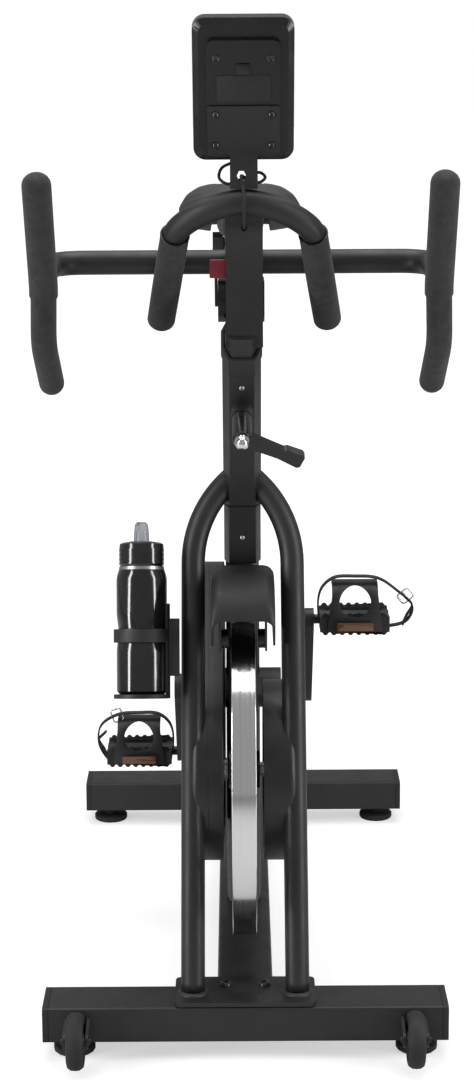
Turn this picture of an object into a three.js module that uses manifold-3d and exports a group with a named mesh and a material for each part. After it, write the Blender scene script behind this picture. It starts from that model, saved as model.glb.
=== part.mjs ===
// Indoor spin bike, in millimetres, +Z up. The bike's front faces -Y and the rider's left side is +X.
// The origin is on the floor, midway between the transport wheels' front and the rear stabiliser's back.

import * as THREE from 'three';
import { mergeVertices } from 'three/addons/utils/BufferGeometryUtils.js';
import Module from 'manifold-3d';

const wasm = await Module();
wasm.setup();

const GAP = 0.3; // clearance kept between separate pieces that touch
const SIDES = { left: 1, right: -1 }; // the rider's left is +X
const DEG = Math.PI / 180;
const PIPE_HALF_SIDES = 6; // a whole circle gets twice this many sides
const BORE_HALF_SIDES = 4;

// ---------------------------------------------------------------- driving dimensions

// Base: two cross tubes (stabilisers) on levelling feet, joined by a long beam.
const STABILISER = { length: 540, depth: 80, height: 50, corner: 6, wall: 2, cap: 8 };
const FOOT = { x: 230, height: 25, padRadius: 28, padHeight: 11, neckRadius: 12, studRadius: 5, studTop: 58 };
const WHEELBASE = 962;
const TRANSPORT_WHEEL = { x: 223, radius: 38, width: 23, bore: 4.4, forward: 42, z: 47 };
const EAR = { thickness: 4, radius: 10, bolt: 4 };
const LENGTH = TRANSPORT_WHEEL.radius + TRANSPORT_WHEEL.forward + WHEELBASE + STABILISER.depth;
const FACE = TRANSPORT_WHEEL.radius + TRANSPORT_WHEEL.forward - LENGTH / 2; // front face of the front stabiliser
const FRONT_Y = FACE + STABILISER.depth / 2;
const REAR_Y = FRONT_Y + WHEELBASE;
const STABILISER_Z = FOOT.height + STABILISER.height / 2;
const BEAM = { width: 75, height: 50, wall: 2.5, bottom: 27 };
const BEAM_TOP = BEAM.bottom + BEAM.height;
const PLATE = { halfWidth: 94, front: FACE + 2, back: FACE + 92, bottom: 75.3, thickness: 6 };
const PLATE_TOP = PLATE.bottom + PLATE.thickness;
const REAR_FLANGE = { halfWidth: 60, thickness: 5 };

// Fork: two bent tubes that lean back from the front plate to the head tube.
const FORK = { radius: 16, wall: 2, lean: 15 * DEG, footX: 70, topX: 66.5, bendS: 641, bendRadius: 152, bend: 47 * DEG };
const DROPOUT = { inner: 55, outer: 61, reach: 24, low: 292, high: 382 };

// Drive: flywheel axle, bottom bracket, belt and cranks.
const AXLE = { y: FACE + 215, z: 337, radius: 10 };
const FLYWHEEL = { radius: 228, halfWidth: 16.3, rimDepth: 30, webHalf: 4, hubRadius: 26, hubHalf: 22 };
const BRACKET = { y: FACE + 510, z: 372.5, shellRadius: 30, shellLeft: 57, axleRadius: 10 };
const SMALL_PULLEY = { radius: 28, inner: 33, outer: 45 };
const LARGE_PULLEY = { radius: 110, inner: 33, outer: 45 };
const BELT = { thickness: 2, inner: 34, outer: 44, clearance: 0.8 };
const DRUM = { radius: 125, inner: 27, outer: 72, wall: 3 };
const GUARD = { rearRadius: 190, split: 48 };
const CRANK = { length: 172, angle: 129.5 * DEG, inner: 90, outer: 103, bossRadius: 21, endRadius: 16 };
const PEDAL = { x: 161, width: 100, depth: 74, height: 22, barrelRadius: 12.5, pinRadius: 7, pinEnd: 205 };
const CAGE = { width: 78, thickness: 3.5, front: -41.5, top: 60, hole: 21, holeZ: 27 };
const STRAP = { y: -23, width: 12, thickness: 2.5, slack: { left: 82, right: 62 } };

// Head: an eight-sided tube that leans forward above the flywheel, with its collar, neck cover and brake shield.
const HEAD = { y: FACE + 228, z: 740, lean: 24 * DEG, width: 51, depth: 66, flat: 33, chamfer: 20, bottom: 712 };
const COLLAR = { low: 190, lowRear: 214, high: 216, highRear: 240, proud: 1.5 };
const NECK = { y: FACE + 241, width: 50, depth: 74, flat: 36, chamfer: 20, bottom: 632.4, wall: 3 };
const SHIELD = { halfWidth: 42.5, front: FACE + 78, top: 632, lip: 585, wall: 3, shoulder: 15 };
const MAGNET = { inner: 29, outer: 32, face: 19.5, pivotY: FACE + 218, pivotZ: 606 };
const CLAMP = { along: 140, radius: 14, bossEnd: 22, hubEnd: 74, armLength: 86, armDip: 25 * DEG };

// Seat tube, leaning back from the beam, with the telescoping post and the saddle on it.
const SEAT = { lean: 17 * DEG, width: 50, depth: 62, corner: 12, wall: 3, top: 330 };
const POST = { low: 150, top: 662, inset: 3.6, wall: 2.5 };
const CHANNEL = { width: 46, bottom: 1003, top: 1034, front: FACE + 665, back: FACE + 742, wall: 5 };
const SLIDER = { width: 35.2, bottom: 1008.3, top: 1031, front: FACE + 612, back: FACE + 800 };
const CRADLE = { y: FACE + 705, z: 1050, radius: 8, earHalf: 14, halfWidth: 30 };
const RAIL_RADIUS = 3.5;
const SADDLE = { nose: FACE + 560, tail: FACE + 852, bottom: 1040, cavity: 1067, cavityHalf: 44, noseHalf: 23.5 };

// Handlebar: telescoping post, curved stem, main bar with horns and drops, and a bent upper bar with grips.
const BAR_POST = { width: 43.4, depth: 58.4, flat: 27, chamfer: 17, low: 40, high: 244, wall: 2.5 };
const STEM = { x: 4, halfWidth: 24 }; // the stem and all it carries sit a little to the rider's left
const CROSSBAR = { y: FACE + 190, z: 1043, radius: 16, wall: 2 };
const HORN = { radius: 17.2, wall: 2 };
const UPPER_BAR = { y: FACE + 53, z: 1131, radius: 16, wall: 2, gripPull: 26, topPull: 31 };
const GRIP = { radius: 18.5, length: 172 };
const CONSOLE = { y: FACE + 72.5, z: 1271, tilt: 17 * DEG, width: 127, height: 184, corner: 16 };
const STRIP = { width: 35, thickness: 3 };
const CABLE_RADIUS = 2;
const HOUSING = { halfWidth: 30.5, front: FACE + 150, back: FACE + 236, bottom: 966, top: 1020 };
const TAB = { y: FACE + 190, z: 994, outer: 41, back: 19, front: 30, low: 31, high: 54 };
const TAB_NOTCH = { radius: 35.5, front: 45, low: 2, high: 30 }; // room in the housing for the tab's swing

// Bottle, held beside the right fork leg and parallel to it.
const BOTTLE = { x: -136, y: -18, bottom: 399, shoulder: 559, top: 570, radius: 34, capTop: 602, spoutTop: 630 };
const HOLDER = { inner: 35, outer: 38, bottom: 393, top: 520, bandLow: 468, bandHigh: 486 };

// ---------------------------------------------------------------- geometry helpers

// Merges shared corners, drops empty triangles and turns the faces outward.
function closed(geometry) {
  const bare = geometry.index ? geometry.clone() : geometry;
  bare.deleteAttribute('normal');
  bare.deleteAttribute('uv');
  const merged = mergeVertices(bare, 1e-3);
  const corner = merged.attributes.position;
  const source = merged.index.array;
  const kept = [];
  const [a, b, c] = [new THREE.Vector3(), new THREE.Vector3(), new THREE.Vector3()];
  let volume = 0;
  for (let i = 0; i < source.length; i += 3) {
    const [p, q, r] = [source[i], source[i + 1], source[i + 2]];
    if (p === q || q === r || r === p) continue;
    kept.push(p, q, r);
    a.fromBufferAttribute(corner, p);
    b.fromBufferAttribute(corner, q);
    c.fromBufferAttribute(corner, r);
    volume += a.dot(b.cross(c));
  }
  if (volume < 0) kept.reverse();
  merged.setIndex(kept);
  merged.computeVertexNormals();
  return merged;
}

function toSolid(geometry) {
  const clean = closed(geometry);
  const mesh = new wasm.Mesh({
    numProp: 3,
    vertProperties: clean.attributes.position.array,
    triVerts: new Uint32Array(clean.index.array),
  });
  return new wasm.Manifold(mesh);
}

function toGeometry(solid) {
  const mesh = solid.getMesh();
  const geometry = new THREE.BufferGeometry();
  geometry.setAttribute('position', new THREE.BufferAttribute(mesh.vertProperties, 3));
  geometry.setIndex(new THREE.BufferAttribute(mesh.triVerts, 1));
  geometry.computeVertexNormals();
  return geometry;
}

function join(...pieces) {
  return toGeometry(pieces.map(toSolid).reduce((sum, piece) => sum.add(piece)));
}

function cut(piece, ...tools) {
  return toGeometry(tools.map(toSolid).reduce((rest, tool) => rest.subtract(tool), toSolid(piece)));
}

function common(piece, other) {
  return toGeometry(toSolid(piece).intersect(toSolid(other)));
}

function polygon(points) {
  return new THREE.Shape(points.map(([x, y]) => new THREE.Vector2(x, y)));
}

function roundedRect(width, height, radius) {
  const [w, h] = [width / 2 - radius, height / 2 - radius];
  const shape = new THREE.Shape();
  shape.absarc(w, h, radius, 0, Math.PI / 2);
  shape.absarc(-w, h, radius, Math.PI / 2, Math.PI);
  shape.absarc(-w, -h, radius, Math.PI, 1.5 * Math.PI);
  shape.absarc(w, -h, radius, 1.5 * Math.PI, 2 * Math.PI);
  shape.closePath();
  return shape;
}

function disc(radius, x = 0, y = 0) {
  return new THREE.Shape().absarc(x, y, radius, 0, 2 * Math.PI);
}

// An eight-sided section: flat front and back faces of width `flat`, joined to the sides by long chamfers.
function octagon({ width, depth, flat, chamfer }, grow = 0) {
  const [w, d, f, c] = [width / 2 + grow, depth / 2 + grow, flat / 2 + grow / 2, depth / 2 - chamfer];
  return polygon([[w, -c], [w, c], [f, d], [-f, d], [-w, c], [-w, -c], [-f, -d], [f, -d]]);
}

function withHole(shape, hole) {
  shape.holes.push(hole);
  return shape;
}

function extrude(shape, depth, curveSegments = 3) {
  return new THREE.ExtrudeGeometry(shape, { depth, bevelEnabled: false, curveSegments });
}

// The shape is drawn in (x, y) and runs from z0 to z1.
function alongZ(shape, z0, z1, curveSegments) {
  return extrude(shape, z1 - z0, curveSegments).translate(0, 0, z0);
}

// The shape is drawn in (y, z) and runs from x0 to x1.
function alongX(shape, x0, x1, curveSegments) {
  const turn = new THREE.Matrix4().set(0, 0, 1, 0, 1, 0, 0, 0, 0, 1, 0, 0, 0, 0, 0, 1);
  return extrude(shape, x1 - x0, curveSegments).applyMatrix4(turn).translate(x0, 0, 0);
}

// The shape is drawn in (x, z) and runs from y0 to y1.
function alongY(shape, y0, y1, curveSegments) {
  return extrude(shape, y1 - y0, curveSegments).rotateX(Math.PI / 2).translate(0, y1, 0);
}

function block(x0, x1, y0, y1, z0, z1) {
  const box = new THREE.BoxGeometry(x1 - x0, y1 - y0, z1 - z0);
  return box.translate((x0 + x1) / 2, (y0 + y1) / 2, (z0 + z1) / 2);
}

function rodX(radius, x0, x1, y = 0, z = 0, sides = 16) {
  const rod = new THREE.CylinderGeometry(radius, radius, x1 - x0, sides);
  return rod.rotateZ(Math.PI / 2).translate((x0 + x1) / 2, y, z);
}

function rodZ(radius, z0, z1, x = 0, y = 0, sides = 16) {
  const rod = new THREE.CylinderGeometry(radius, radius, z1 - z0, sides);
  return rod.rotateX(Math.PI / 2).translate(x, y, (z0 + z1) / 2);
}

// Turns a profile of [along, radius] pairs about the Z axis.
function turnedZ(profile, sides = 24) {
  const points = profile.map(([along, radius]) => new THREE.Vector2(radius, along));
  return new THREE.LatheGeometry(points, sides).rotateX(Math.PI / 2);
}

function turnedX(profile, sides = 24) {
  return turnedZ(profile, sides).rotateY(Math.PI / 2);
}

// A ring's profile, from its inner edge round the given outer points and back.
function ringProfile(bore, outer) {
  const first = outer[0][0];
  const last = outer[outer.length - 1][0];
  return [[first, bore], ...outer, [last, bore], [first, bore]];
}

// The stations of a bent tube's centre line: the ends of its straight runs and every few degrees round a bend.
function bentStations(corners, radii, stepAngle = 15 * DEG) {
  const stations = [corners[0]];
  radii.forEach((radius, i) => {
    const [before, corner, after] = corners.slice(i, i + 3);
    const into = corner.clone().sub(before).normalize();
    const out = after.clone().sub(corner).normalize();
    const turn = into.angleTo(out);
    const start = corner.clone().addScaledVector(into, -radius * Math.tan(turn / 2));
    const inward = out.clone().addScaledVector(into, -Math.cos(turn)).normalize();
    const steps = Math.max(2, Math.ceil(turn / stepAngle));
    for (let k = 0; k <= steps; k += 1) {
      const angle = (turn * k) / steps;
      const station = start.clone().addScaledVector(into, radius * Math.sin(angle));
      stations.push(station.addScaledVector(inward, radius * (1 - Math.cos(angle))));
    }
  });
  stations.push(corners[corners.length - 1]);
  return stations;
}

// A path through given stations, one sweep step from each to the next.
class StationPath extends THREE.Curve {
  constructor(stations) {
    super();
    this.stations = stations;
    this.steps = stations.length - 1;
  }

  getPoint(t, target = new THREE.Vector3()) {
    const place = THREE.MathUtils.clamp(t, 0, 1) * this.steps;
    const i = Math.min(Math.floor(place), this.steps - 1);
    return target.lerpVectors(this.stations[i], this.stations[i + 1], place - i);
  }

  getUtoTmapping(u) {
    return u;
  }
}

function sweep(path, shape, curveSegments = 6) {
  const options = { extrudePath: path, steps: path.steps, bevelEnabled: false, curveSegments };
  return new THREE.ExtrudeGeometry(shape, options);
}

function pipe(path, radius) {
  return sweep(path, disc(radius), PIPE_HALF_SIDES);
}

// A pipe that runs a little past both ends of its path, for hollowing out another one.
function bore(path, radius) {
  const { stations } = path;
  const past = (end, inside) => end.clone().add(end.clone().sub(inside).normalize());
  const first = past(stations[0], stations[1]);
  const last = past(stations[path.steps], stations[path.steps - 1]);
  return sweep(new StationPath([first, ...stations.slice(1, -1), last]), disc(radius), BORE_HALF_SIDES);
}

function point(x, y, z) {
  return new THREE.Vector3(x, y, z);
}

// The X limits of something between two distances from the middle plane, on one side of the bike.
function span(sign, inner, outer) {
  return sign > 0 ? [inner, outer] : [-outer, -inner];
}

// A closed body through loops in planes across Y, all with the same number of points; the end loops are filled flat.
function loft(loops) {
  const count = loops[0].length;
  const flat = (p) => new THREE.Vector2(p.x, p.z);
  const faces = [];
  for (let i = 0; i < loops.length - 1; i += 1) {
    for (let k = 0; k < count; k += 1) {
      const [a, b] = [i * count + k, i * count + ((k + 1) % count)];
      faces.push(a, b, a + count, b, b + count, a + count);
    }
  }
  const last = (loops.length - 1) * count;
  const order = THREE.ShapeUtils.isClockWise(loops[0].map(flat)) ? 1 : -1;
  for (const [a, b, c] of THREE.ShapeUtils.triangulateShape(loops[0].map(flat), [])) {
    faces.push(...(order > 0 ? [a, b, c] : [a, c, b]));
  }
  for (const [a, b, c] of THREE.ShapeUtils.triangulateShape(loops[loops.length - 1].map(flat), [])) {
    faces.push(...(order > 0 ? [a + last, c + last, b + last] : [a + last, b + last, c + last]));
  }
  const geometry = new THREE.BufferGeometry();
  geometry.setAttribute('position', new THREE.Float32BufferAttribute(loops.flat().flatMap((p) => p.toArray()), 3));
  geometry.setIndex(faces);
  return geometry;
}

// A flat strip of metal: a line of (y, z) points given a thickness towards its left-hand side.
function bentStrip(points, thickness, x0, x1) {
  const line = points.map(([y, z]) => new THREE.Vector2(y, z));
  const offset = line.map((p, i) => {
    const before = line[Math.max(i - 1, 0)];
    const after = line[Math.min(i + 1, line.length - 1)];
    const direction = after.clone().sub(before).normalize();
    return p.clone().add(new THREE.Vector2(-direction.y, direction.x).multiplyScalar(thickness));
  });
  return alongX(new THREE.Shape([...line, ...offset.reverse()]), x0, x1);
}

// ---------------------------------------------------------------- scene graph helpers

const FINISHES = {
  powder: { color: 0x2b2a2a, roughness: 0.55, metalness: 0.2 },
  plastic: { color: 0x262626, roughness: 0.6, metalness: 0 },
  rubber: { color: 0x1c1c1c, roughness: 0.9, metalness: 0 },
  foam: { color: 0x3a3937, roughness: 0.95, metalness: 0 },
  chrome: { color: 0xd8d8d8, roughness: 0.12, metalness: 1 },
  steel: { color: 0x8f9193, roughness: 0.4, metalness: 1 },
  aluminium: { color: 0x8c8d8e, roughness: 0.45, metalness: 0.9 },
  leather: { color: 0x2c2926, roughness: 0.7, metalness: 0 },
  red: { color: 0x8a2a35, roughness: 0.5, metalness: 0 },
  gloss: { color: 0x101010, roughness: 0.15, metalness: 0 },
};

const bike = new THREE.Group();

function add(name, finish, geometry, parent = bike) {
  const mesh = new THREE.Mesh(closed(geometry), new THREE.MeshStandardMaterial(FINISHES[finish]));
  mesh.name = name;
  parent.add(mesh);
  return mesh;
}

function groupAt(x, y, z, tiltX = 0, parent = bike) {
  const group = new THREE.Group();
  group.position.set(x, y, z);
  group.rotation.x = tiltX;
  parent.add(group);
  return group;
}

// ---------------------------------------------------------------- base

function stabiliserTube() {
  const { length, depth, height, corner, wall } = STABILISER;
  const outer = roundedRect(depth, height, corner);
  const inner = roundedRect(depth - 2 * wall, height - 2 * wall, corner - wall);
  const half = length / 2 - STABILISER.cap - GAP;
  const tube = alongX(withHole(outer, inner), -half, half, 1);
  const bottom = -height / 2;
  const holes = [FOOT.x, -FOOT.x].map((x) => rodZ(FOOT.studRadius + 1, bottom - 1, bottom + wall + 1, x, 0, 12));
  return cut(tube, ...holes);
}

// Two ears and a bolt that carry one transport wheel in front of the stabiliser.
function wheelBracket(x) {
  const y = -STABILISER.depth / 2 - TRANSPORT_WHEEL.forward;
  const z = TRANSPORT_WHEEL.z - STABILISER_Z;
  const face = 1 - STABILISER.depth / 2;
  const { thickness, radius, bolt } = EAR;
  const shape = new THREE.Shape();
  shape.moveTo(face, z - radius - 4);
  shape.lineTo(face, z + radius + 6);
  shape.lineTo(y, z + radius);
  shape.absarc(y, z, radius, Math.PI / 2, 1.5 * Math.PI);
  shape.closePath();
  const inner = TRANSPORT_WHEEL.width / 2 + 1.5;
  const outer = inner + thickness;
  const ears = [1, -1].map((side) => alongX(shape, ...span(side, inner, outer), 4).translate(x, 0, 0));
  return [...ears, rodX(bolt, x - outer - 3, x + outer + 3, y, z, 12)];
}

function addStabilisers() {
  const front = groupAt(0, FRONT_Y, STABILISER_Z);
  const rear = groupAt(0, REAR_Y, STABILISER_Z);
  const brackets = [...wheelBracket(TRANSPORT_WHEEL.x), ...wheelBracket(-TRANSPORT_WHEEL.x)];
  add('front_stabiliser', 'powder', join(stabiliserTube(), ...brackets), front);
  add('rear_stabiliser', 'powder', stabiliserTube(), rear);
  for (const [end, group] of [['front', front], ['rear', rear]]) {
    for (const [side, sign] of Object.entries(SIDES)) addEndCap(`${end}_cap_${side}`, sign, group);
  }
}

function addEndCap(name, sign, group) {
  const { length, depth, height, corner, wall, cap: thickness } = STABILISER;
  const inset = 2 * wall + 2 * GAP;
  const face = length / 2 - thickness;
  const plate = alongX(roundedRect(depth, height, corner), face, length / 2, 1);
  const plug = alongX(roundedRect(depth - inset, height - inset, corner - wall), face - 16, face + 1, 1);
  const cap = add(name, 'plastic', join(plate, plug), group);
  cap.rotation.z = sign > 0 ? 0 : Math.PI;
}

function levellingFoot() {
  const { height, padRadius, padHeight, neckRadius, studRadius, studTop } = FOOT;
  return turnedZ([
    [0, 0], [0, padRadius - 2], [2, padRadius], [padHeight - 2, padRadius], [padHeight, padRadius - 3],
    [padHeight + 1, neckRadius], [height - GAP, neckRadius], [height - GAP, studRadius], [studTop, studRadius], [studTop, 0],
  ], 16);
}

function addFeet() {
  for (const [end, y] of [['front', FRONT_Y], ['rear', REAR_Y]]) {
    for (const [side, sign] of Object.entries(SIDES)) {
      add(`${end}_foot_${side}`, 'rubber', levellingFoot()).position.set(sign * FOOT.x, y, 0);
    }
  }
}

function transportWheel() {
  const { radius, width, bore } = TRANSPORT_WHEEL;
  const half = width / 2;
  const tread = [
    [-half, 10], [-half + 3, 12], [-half + 3, radius - 10], [-half, radius - 8], [-half + 1, radius - 4],
    [-half * 0.5, radius - 0.7], [0, radius],
  ];
  const mirrored = tread.slice(0, -1).reverse().map(([x, r]) => [-x, r]);
  return turnedX(ringProfile(bore, [...tread, ...mirrored]), 18);
}

function addTransportWheels() {
  const y = FRONT_Y - STABILISER.depth / 2 - TRANSPORT_WHEEL.forward;
  for (const [side, sign] of Object.entries(SIDES)) {
    const wheel = add(`transport_wheel_${side}`, 'rubber', transportWheel());
    wheel.position.set(sign * TRANSPORT_WHEEL.x, y, TRANSPORT_WHEEL.z);
  }
}

function addLowerBeam() {
  const { width, height, wall, bottom } = BEAM;
  const front = FRONT_Y + STABILISER.depth / 2 + GAP;
  const back = REAR_Y - STABILISER.depth / 2 - GAP;
  const section = withHole(roundedRect(width, height, 6), roundedRect(width - 2 * wall, height - 2 * wall, 4));
  const tube = alongY(section, front, back, 1).translate(0, 0, bottom + height / 2);
  const plate = alongZ(roundedRect(2 * PLATE.halfWidth, PLATE.back - PLATE.front, 8), PLATE.bottom, PLATE_TOP, 1);
  plate.translate(0, (PLATE.front + PLATE.back) / 2, 0);
  const flange = block(-REAR_FLANGE.halfWidth, REAR_FLANGE.halfWidth, back - REAR_FLANGE.thickness, back, bottom, BEAM_TOP);
  add('lower_beam', 'powder', join(tube, plate, flange));
}

// ---------------------------------------------------------------- fork and head

// Places geometry drawn about the local Z axis on a leaning axis in the bike's middle plane.
function onHead(geometry) {
  return geometry.rotateX(HEAD.lean).translate(0, HEAD.y, HEAD.z);
}

function onSeatTube(geometry) {
  return geometry.rotateX(-SEAT.lean).translate(0, BRACKET.y, BRACKET.z);
}

function headPrism(grow, low, high) {
  return onHead(alongZ(octagon(HEAD, grow), low, high));
}

function neckPrism(grow, low, high) {
  return alongZ(octagon(NECK, grow), low, high).translate(0, NECK.y, 0);
}

// A point of the fork's leaning plane: s runs up the lean from the front plate.
function forkPoint(x, s) {
  return point(x, FRONT_Y + s * Math.sin(FORK.lean), PLATE_TOP + s * Math.cos(FORK.lean));
}

function forkPath(sign) {
  const { footX, topX, bendS, bendRadius, bend } = FORK;
  const past = bendRadius * Math.tan(bend / 2) + 16;
  return new StationPath(bentStations([
    forkPoint(sign * footX, -30),
    forkPoint(sign * topX, bendS),
    forkPoint(sign * (topX - past * Math.sin(bend)), bendS + past * Math.cos(bend)),
  ], [bendRadius]));
}

function dropout(sign) {
  const legY = (z) => FRONT_Y + (z - PLATE_TOP) * Math.tan(FORK.lean);
  const shape = new THREE.Shape();
  shape.moveTo(legY(DROPOUT.high), DROPOUT.high);
  shape.lineTo(legY(DROPOUT.low), DROPOUT.low);
  shape.lineTo(AXLE.y, AXLE.z - DROPOUT.reach);
  shape.absarc(AXLE.y, AXLE.z, DROPOUT.reach, -Math.PI / 2, Math.PI / 2);
  shape.lineTo(legY(DROPOUT.high), DROPOUT.high);
  return alongX(shape, ...span(sign, DROPOUT.inner, DROPOUT.outer), 8);
}

function addForkLegs() {
  for (const [side, sign] of Object.entries(SIDES)) {
    const path = forkPath(sign);
    const ring = rodZ(FORK.radius + 6, PLATE_TOP + GAP, PLATE_TOP + 8, sign * FORK.footX, FRONT_Y + 2);
    const tools = [
      bore(path, FORK.radius - FORK.wall),
      headPrism(GAP, -60, 200),
      neckPrism(GAP, NECK.bottom - 20, HEAD.bottom + 10),
      block(-200, 200, FRONT_Y - 100, FRONT_Y + 100, 0, PLATE_TOP + GAP),
      rodX(AXLE.radius + GAP, -100, 100, AXLE.y, AXLE.z),
    ];
    add(`fork_leg_${side}`, 'powder', cut(join(pipe(path, FORK.radius), ring, dropout(sign)), ...tools));
  }
}

// The part of a leaning prism between two lines that rise from the front to the back.
function collarBand(front, rear, lowest, grow) {
  const [near, far] = [-HEAD.depth, HEAD.depth];
  const step = HEAD.chamfer + 6 - HEAD.depth / 2;
  const shape = polygon([[near, lowest], [near, front], [-HEAD.depth / 2, front], [step, rear], [far, rear], [far, lowest]]);
  return onHead(common(alongZ(octagon(HEAD, grow), lowest, rear), alongX(shape, -60, 60)));
}

function addHead() {
  const socket = onHead(alongZ(octagon(BAR_POST, 0.8), -80, 260));
  const boss = onHead(rodZ(CLAMP.radius, -8, CLAMP.bossEnd).rotateX(Math.PI / 2).translate(0, -HEAD.depth / 2, CLAMP.along));
  const floor = block(-60, 60, HEAD.y - 100, HEAD.y + 100, HEAD.bottom - 100, HEAD.bottom);
  add('head_tube', 'powder', cut(join(collarBand(COLLAR.low, COLLAR.lowRear, -60, 0), boss), socket, floor));

  const under = collarBand(COLLAR.low + GAP, COLLAR.lowRear + GAP, 0, COLLAR.proud + 10);
  const rise = COLLAR.highRear - COLLAR.high;
  const slope = polygon([
    [-HEAD.depth, COLLAR.high - rise / 2], [HEAD.depth, COLLAR.highRear + rise / 2],
    [HEAD.depth, COLLAR.highRear + 100], [-HEAD.depth, COLLAR.highRear + 100],
  ]);
  add('head_collar', 'plastic', cut(
    onHead(alongZ(octagon(HEAD, COLLAR.proud), COLLAR.low, COLLAR.highRear + 10)),
    under,
    onHead(alongX(slope, -60, 60)),
    socket,
  ));
  add('neck_cover', 'plastic', cut(
    neckPrism(0, NECK.bottom, HEAD.bottom - GAP),
    neckPrism(-NECK.wall, NECK.bottom - 1, HEAD.bottom + 1),
  ));
}

// One cross-section of the brake shield: an upside-down U with round shoulders.
function shieldSection(y, top, low) {
  const arch = (half, height, radius) => {
    const points = [[half, low]];
    for (let i = 0; i <= 4; i += 1) {
      const angle = (i * Math.PI) / 8;
      const rise = height - radius + radius * Math.sin(angle);
      points.push([half - radius + radius * Math.cos(angle), Math.max(rise, low + 2)]);
    }
    return [...points, ...points.slice().reverse().map(([x, z]) => [-x, z])];
  };
  const { halfWidth, wall, shoulder } = SHIELD;
  const outer = arch(halfWidth, top, shoulder);
  const inner = arch(halfWidth - wall, top - wall, shoulder - wall);
  return [...outer, ...inner.reverse()].map(([x, z]) => point(x, y, z));
}

function addBrakeShield() {
  const { front, top, lip } = SHIELD;
  add('brake_shield', 'plastic', loft([
    shieldSection(front, lip, lip - 20),
    shieldSection(front + 5, lip + 14, 558),
    shieldSection(front + 14, lip + 25, 546),
    shieldSection(front + 34, lip + 36, 546),
    shieldSection(front + 70, lip + 44, 549),
    shieldSection(front + 118, top, 553),
    shieldSection(front + 160, top - 12, 560),
  ], 'y'));
}

function addMagnetBracket() {
  const pivot = groupAt(0, MAGNET.pivotY, MAGNET.pivotZ);
  const outline = polygon([[9, 7], [9, -12], [-56, -38], [-70, -74], [-102, -74], [-113, -46], [-113, -14], [-96, -2]]);
  const cheeks = [1, -1].map((sign) => alongX(outline, ...span(sign, MAGNET.inner, MAGNET.outer)));
  const bridge = block(-MAGNET.inner - 1, MAGNET.inner + 1, -80, -20, -6, -3);
  const magnets = [1, -1].map((sign) => rodX(13, ...span(sign, MAGNET.face, MAGNET.inner + 1), -86, -60));
  const pin = rodX(3.5, GAP + SHIELD.wall - SHIELD.halfWidth, SHIELD.halfWidth - SHIELD.wall - GAP, 0, 0, 12);
  add('magnet_bracket', 'steel', join(...cheeks, bridge, ...magnets, pin), pivot);
}

// The lever's local Z points out of the boss and its arm runs along local X.
function addHeightLever() {
  const head = groupAt(0, HEAD.y, HEAD.z, HEAD.lean);
  const frame = groupAt(0, -HEAD.depth / 2, CLAMP.along, Math.PI / 2, head);
  const { bossEnd, hubEnd, armLength, armDip } = CLAMP;
  const hub = turnedZ([
    [bossEnd + GAP, 0], [bossEnd + GAP, 12], [bossEnd + 2, 13], [hubEnd - 2, 13], [hubEnd, 11.5], [hubEnd, 0],
  ], 20);
  const outline = polygon([
    [0, -9], [armLength - 32, -7], [armLength - 4, -10], [armLength, -7], [armLength, 8],
    [armLength - 4, 11], [armLength - 26, 10], [armLength - 30, 7], [0, 9],
  ]);
  const arm = alongZ(outline, hubEnd - 14, hubEnd).rotateZ(-armDip);
  const nut = turnedZ([
    [hubEnd - 1, 0], [hubEnd - 1, 9], [hubEnd + 4, 10], [hubEnd + 9, 8.5], [hubEnd + 13, 4.5], [hubEnd + 14, 0],
  ], 12);
  add('height_lever', 'plastic', join(hub, arm, nut), frame);
}

// ---------------------------------------------------------------- backbone and seat tube

// A prism along the seat tube's axis, between two distances from the bottom bracket.
function seatPrism(inset, low, high) {
  const shape = roundedRect(SEAT.width - 2 * inset, SEAT.depth - 2 * inset, SEAT.corner - inset);
  return onSeatTube(alongZ(shape, low, high, 1));
}

// A rod that stands out of the seat tube's back face.
function seatKnobRod(radius, from, to) {
  const rod = rodZ(radius, from, to, 0, 0, 16).rotateX(-Math.PI / 2);
  return rod.translate(0, SEAT.depth / 2, SEAT.top - 32);
}

function addSeatTube() {
  const shell = rodX(BRACKET.shellRadius, GAP - DRUM.inner, BRACKET.shellLeft, BRACKET.y, BRACKET.z, 20);
  add('seat_tube', 'powder', cut(
    join(seatPrism(0, -330, SEAT.top), shell, onSeatTube(seatKnobRod(12, -2, 14))),
    seatPrism(SEAT.wall, 40, SEAT.top + 1),
    seatPrism(SEAT.wall, -340, -40),
    rodX(BRACKET.axleRadius + GAP, -100, 100, BRACKET.y, BRACKET.z),
    block(-60, 60, BRACKET.y - 250, BRACKET.y + 50, 0, BEAM_TOP + GAP),
    onSeatTube(seatKnobRod(6.4, -8, 16)),
  ));
}

function addBackbone() {
  const [fromY, fromZ] = [HEAD.y + 10, HEAD.z + 6];
  const [toY, toZ] = [BRACKET.y + 196 * Math.sin(SEAT.lean), BRACKET.z + 196 * Math.cos(SEAT.lean)];
  const length = Math.hypot(toY - fromY, toZ - fromZ);
  const slope = Math.atan2(toZ - fromZ, toY - fromY);
  const tube = (inset, past) => alongY(roundedRect(45 - 2 * inset, 62 - 2 * inset, 10 - inset), -past, length + past, 3)
    .rotateX(slope).translate(0, fromY, fromZ);
  add('backbone_tube', 'powder', cut(
    tube(0, 0),
    tube(2.5, 1),
    headPrism(GAP, -100, 200),
    neckPrism(GAP, NECK.bottom, HEAD.bottom + 20),
    seatPrism(-GAP, -100, 400),
  ));
}

// ---------------------------------------------------------------- drive

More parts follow.
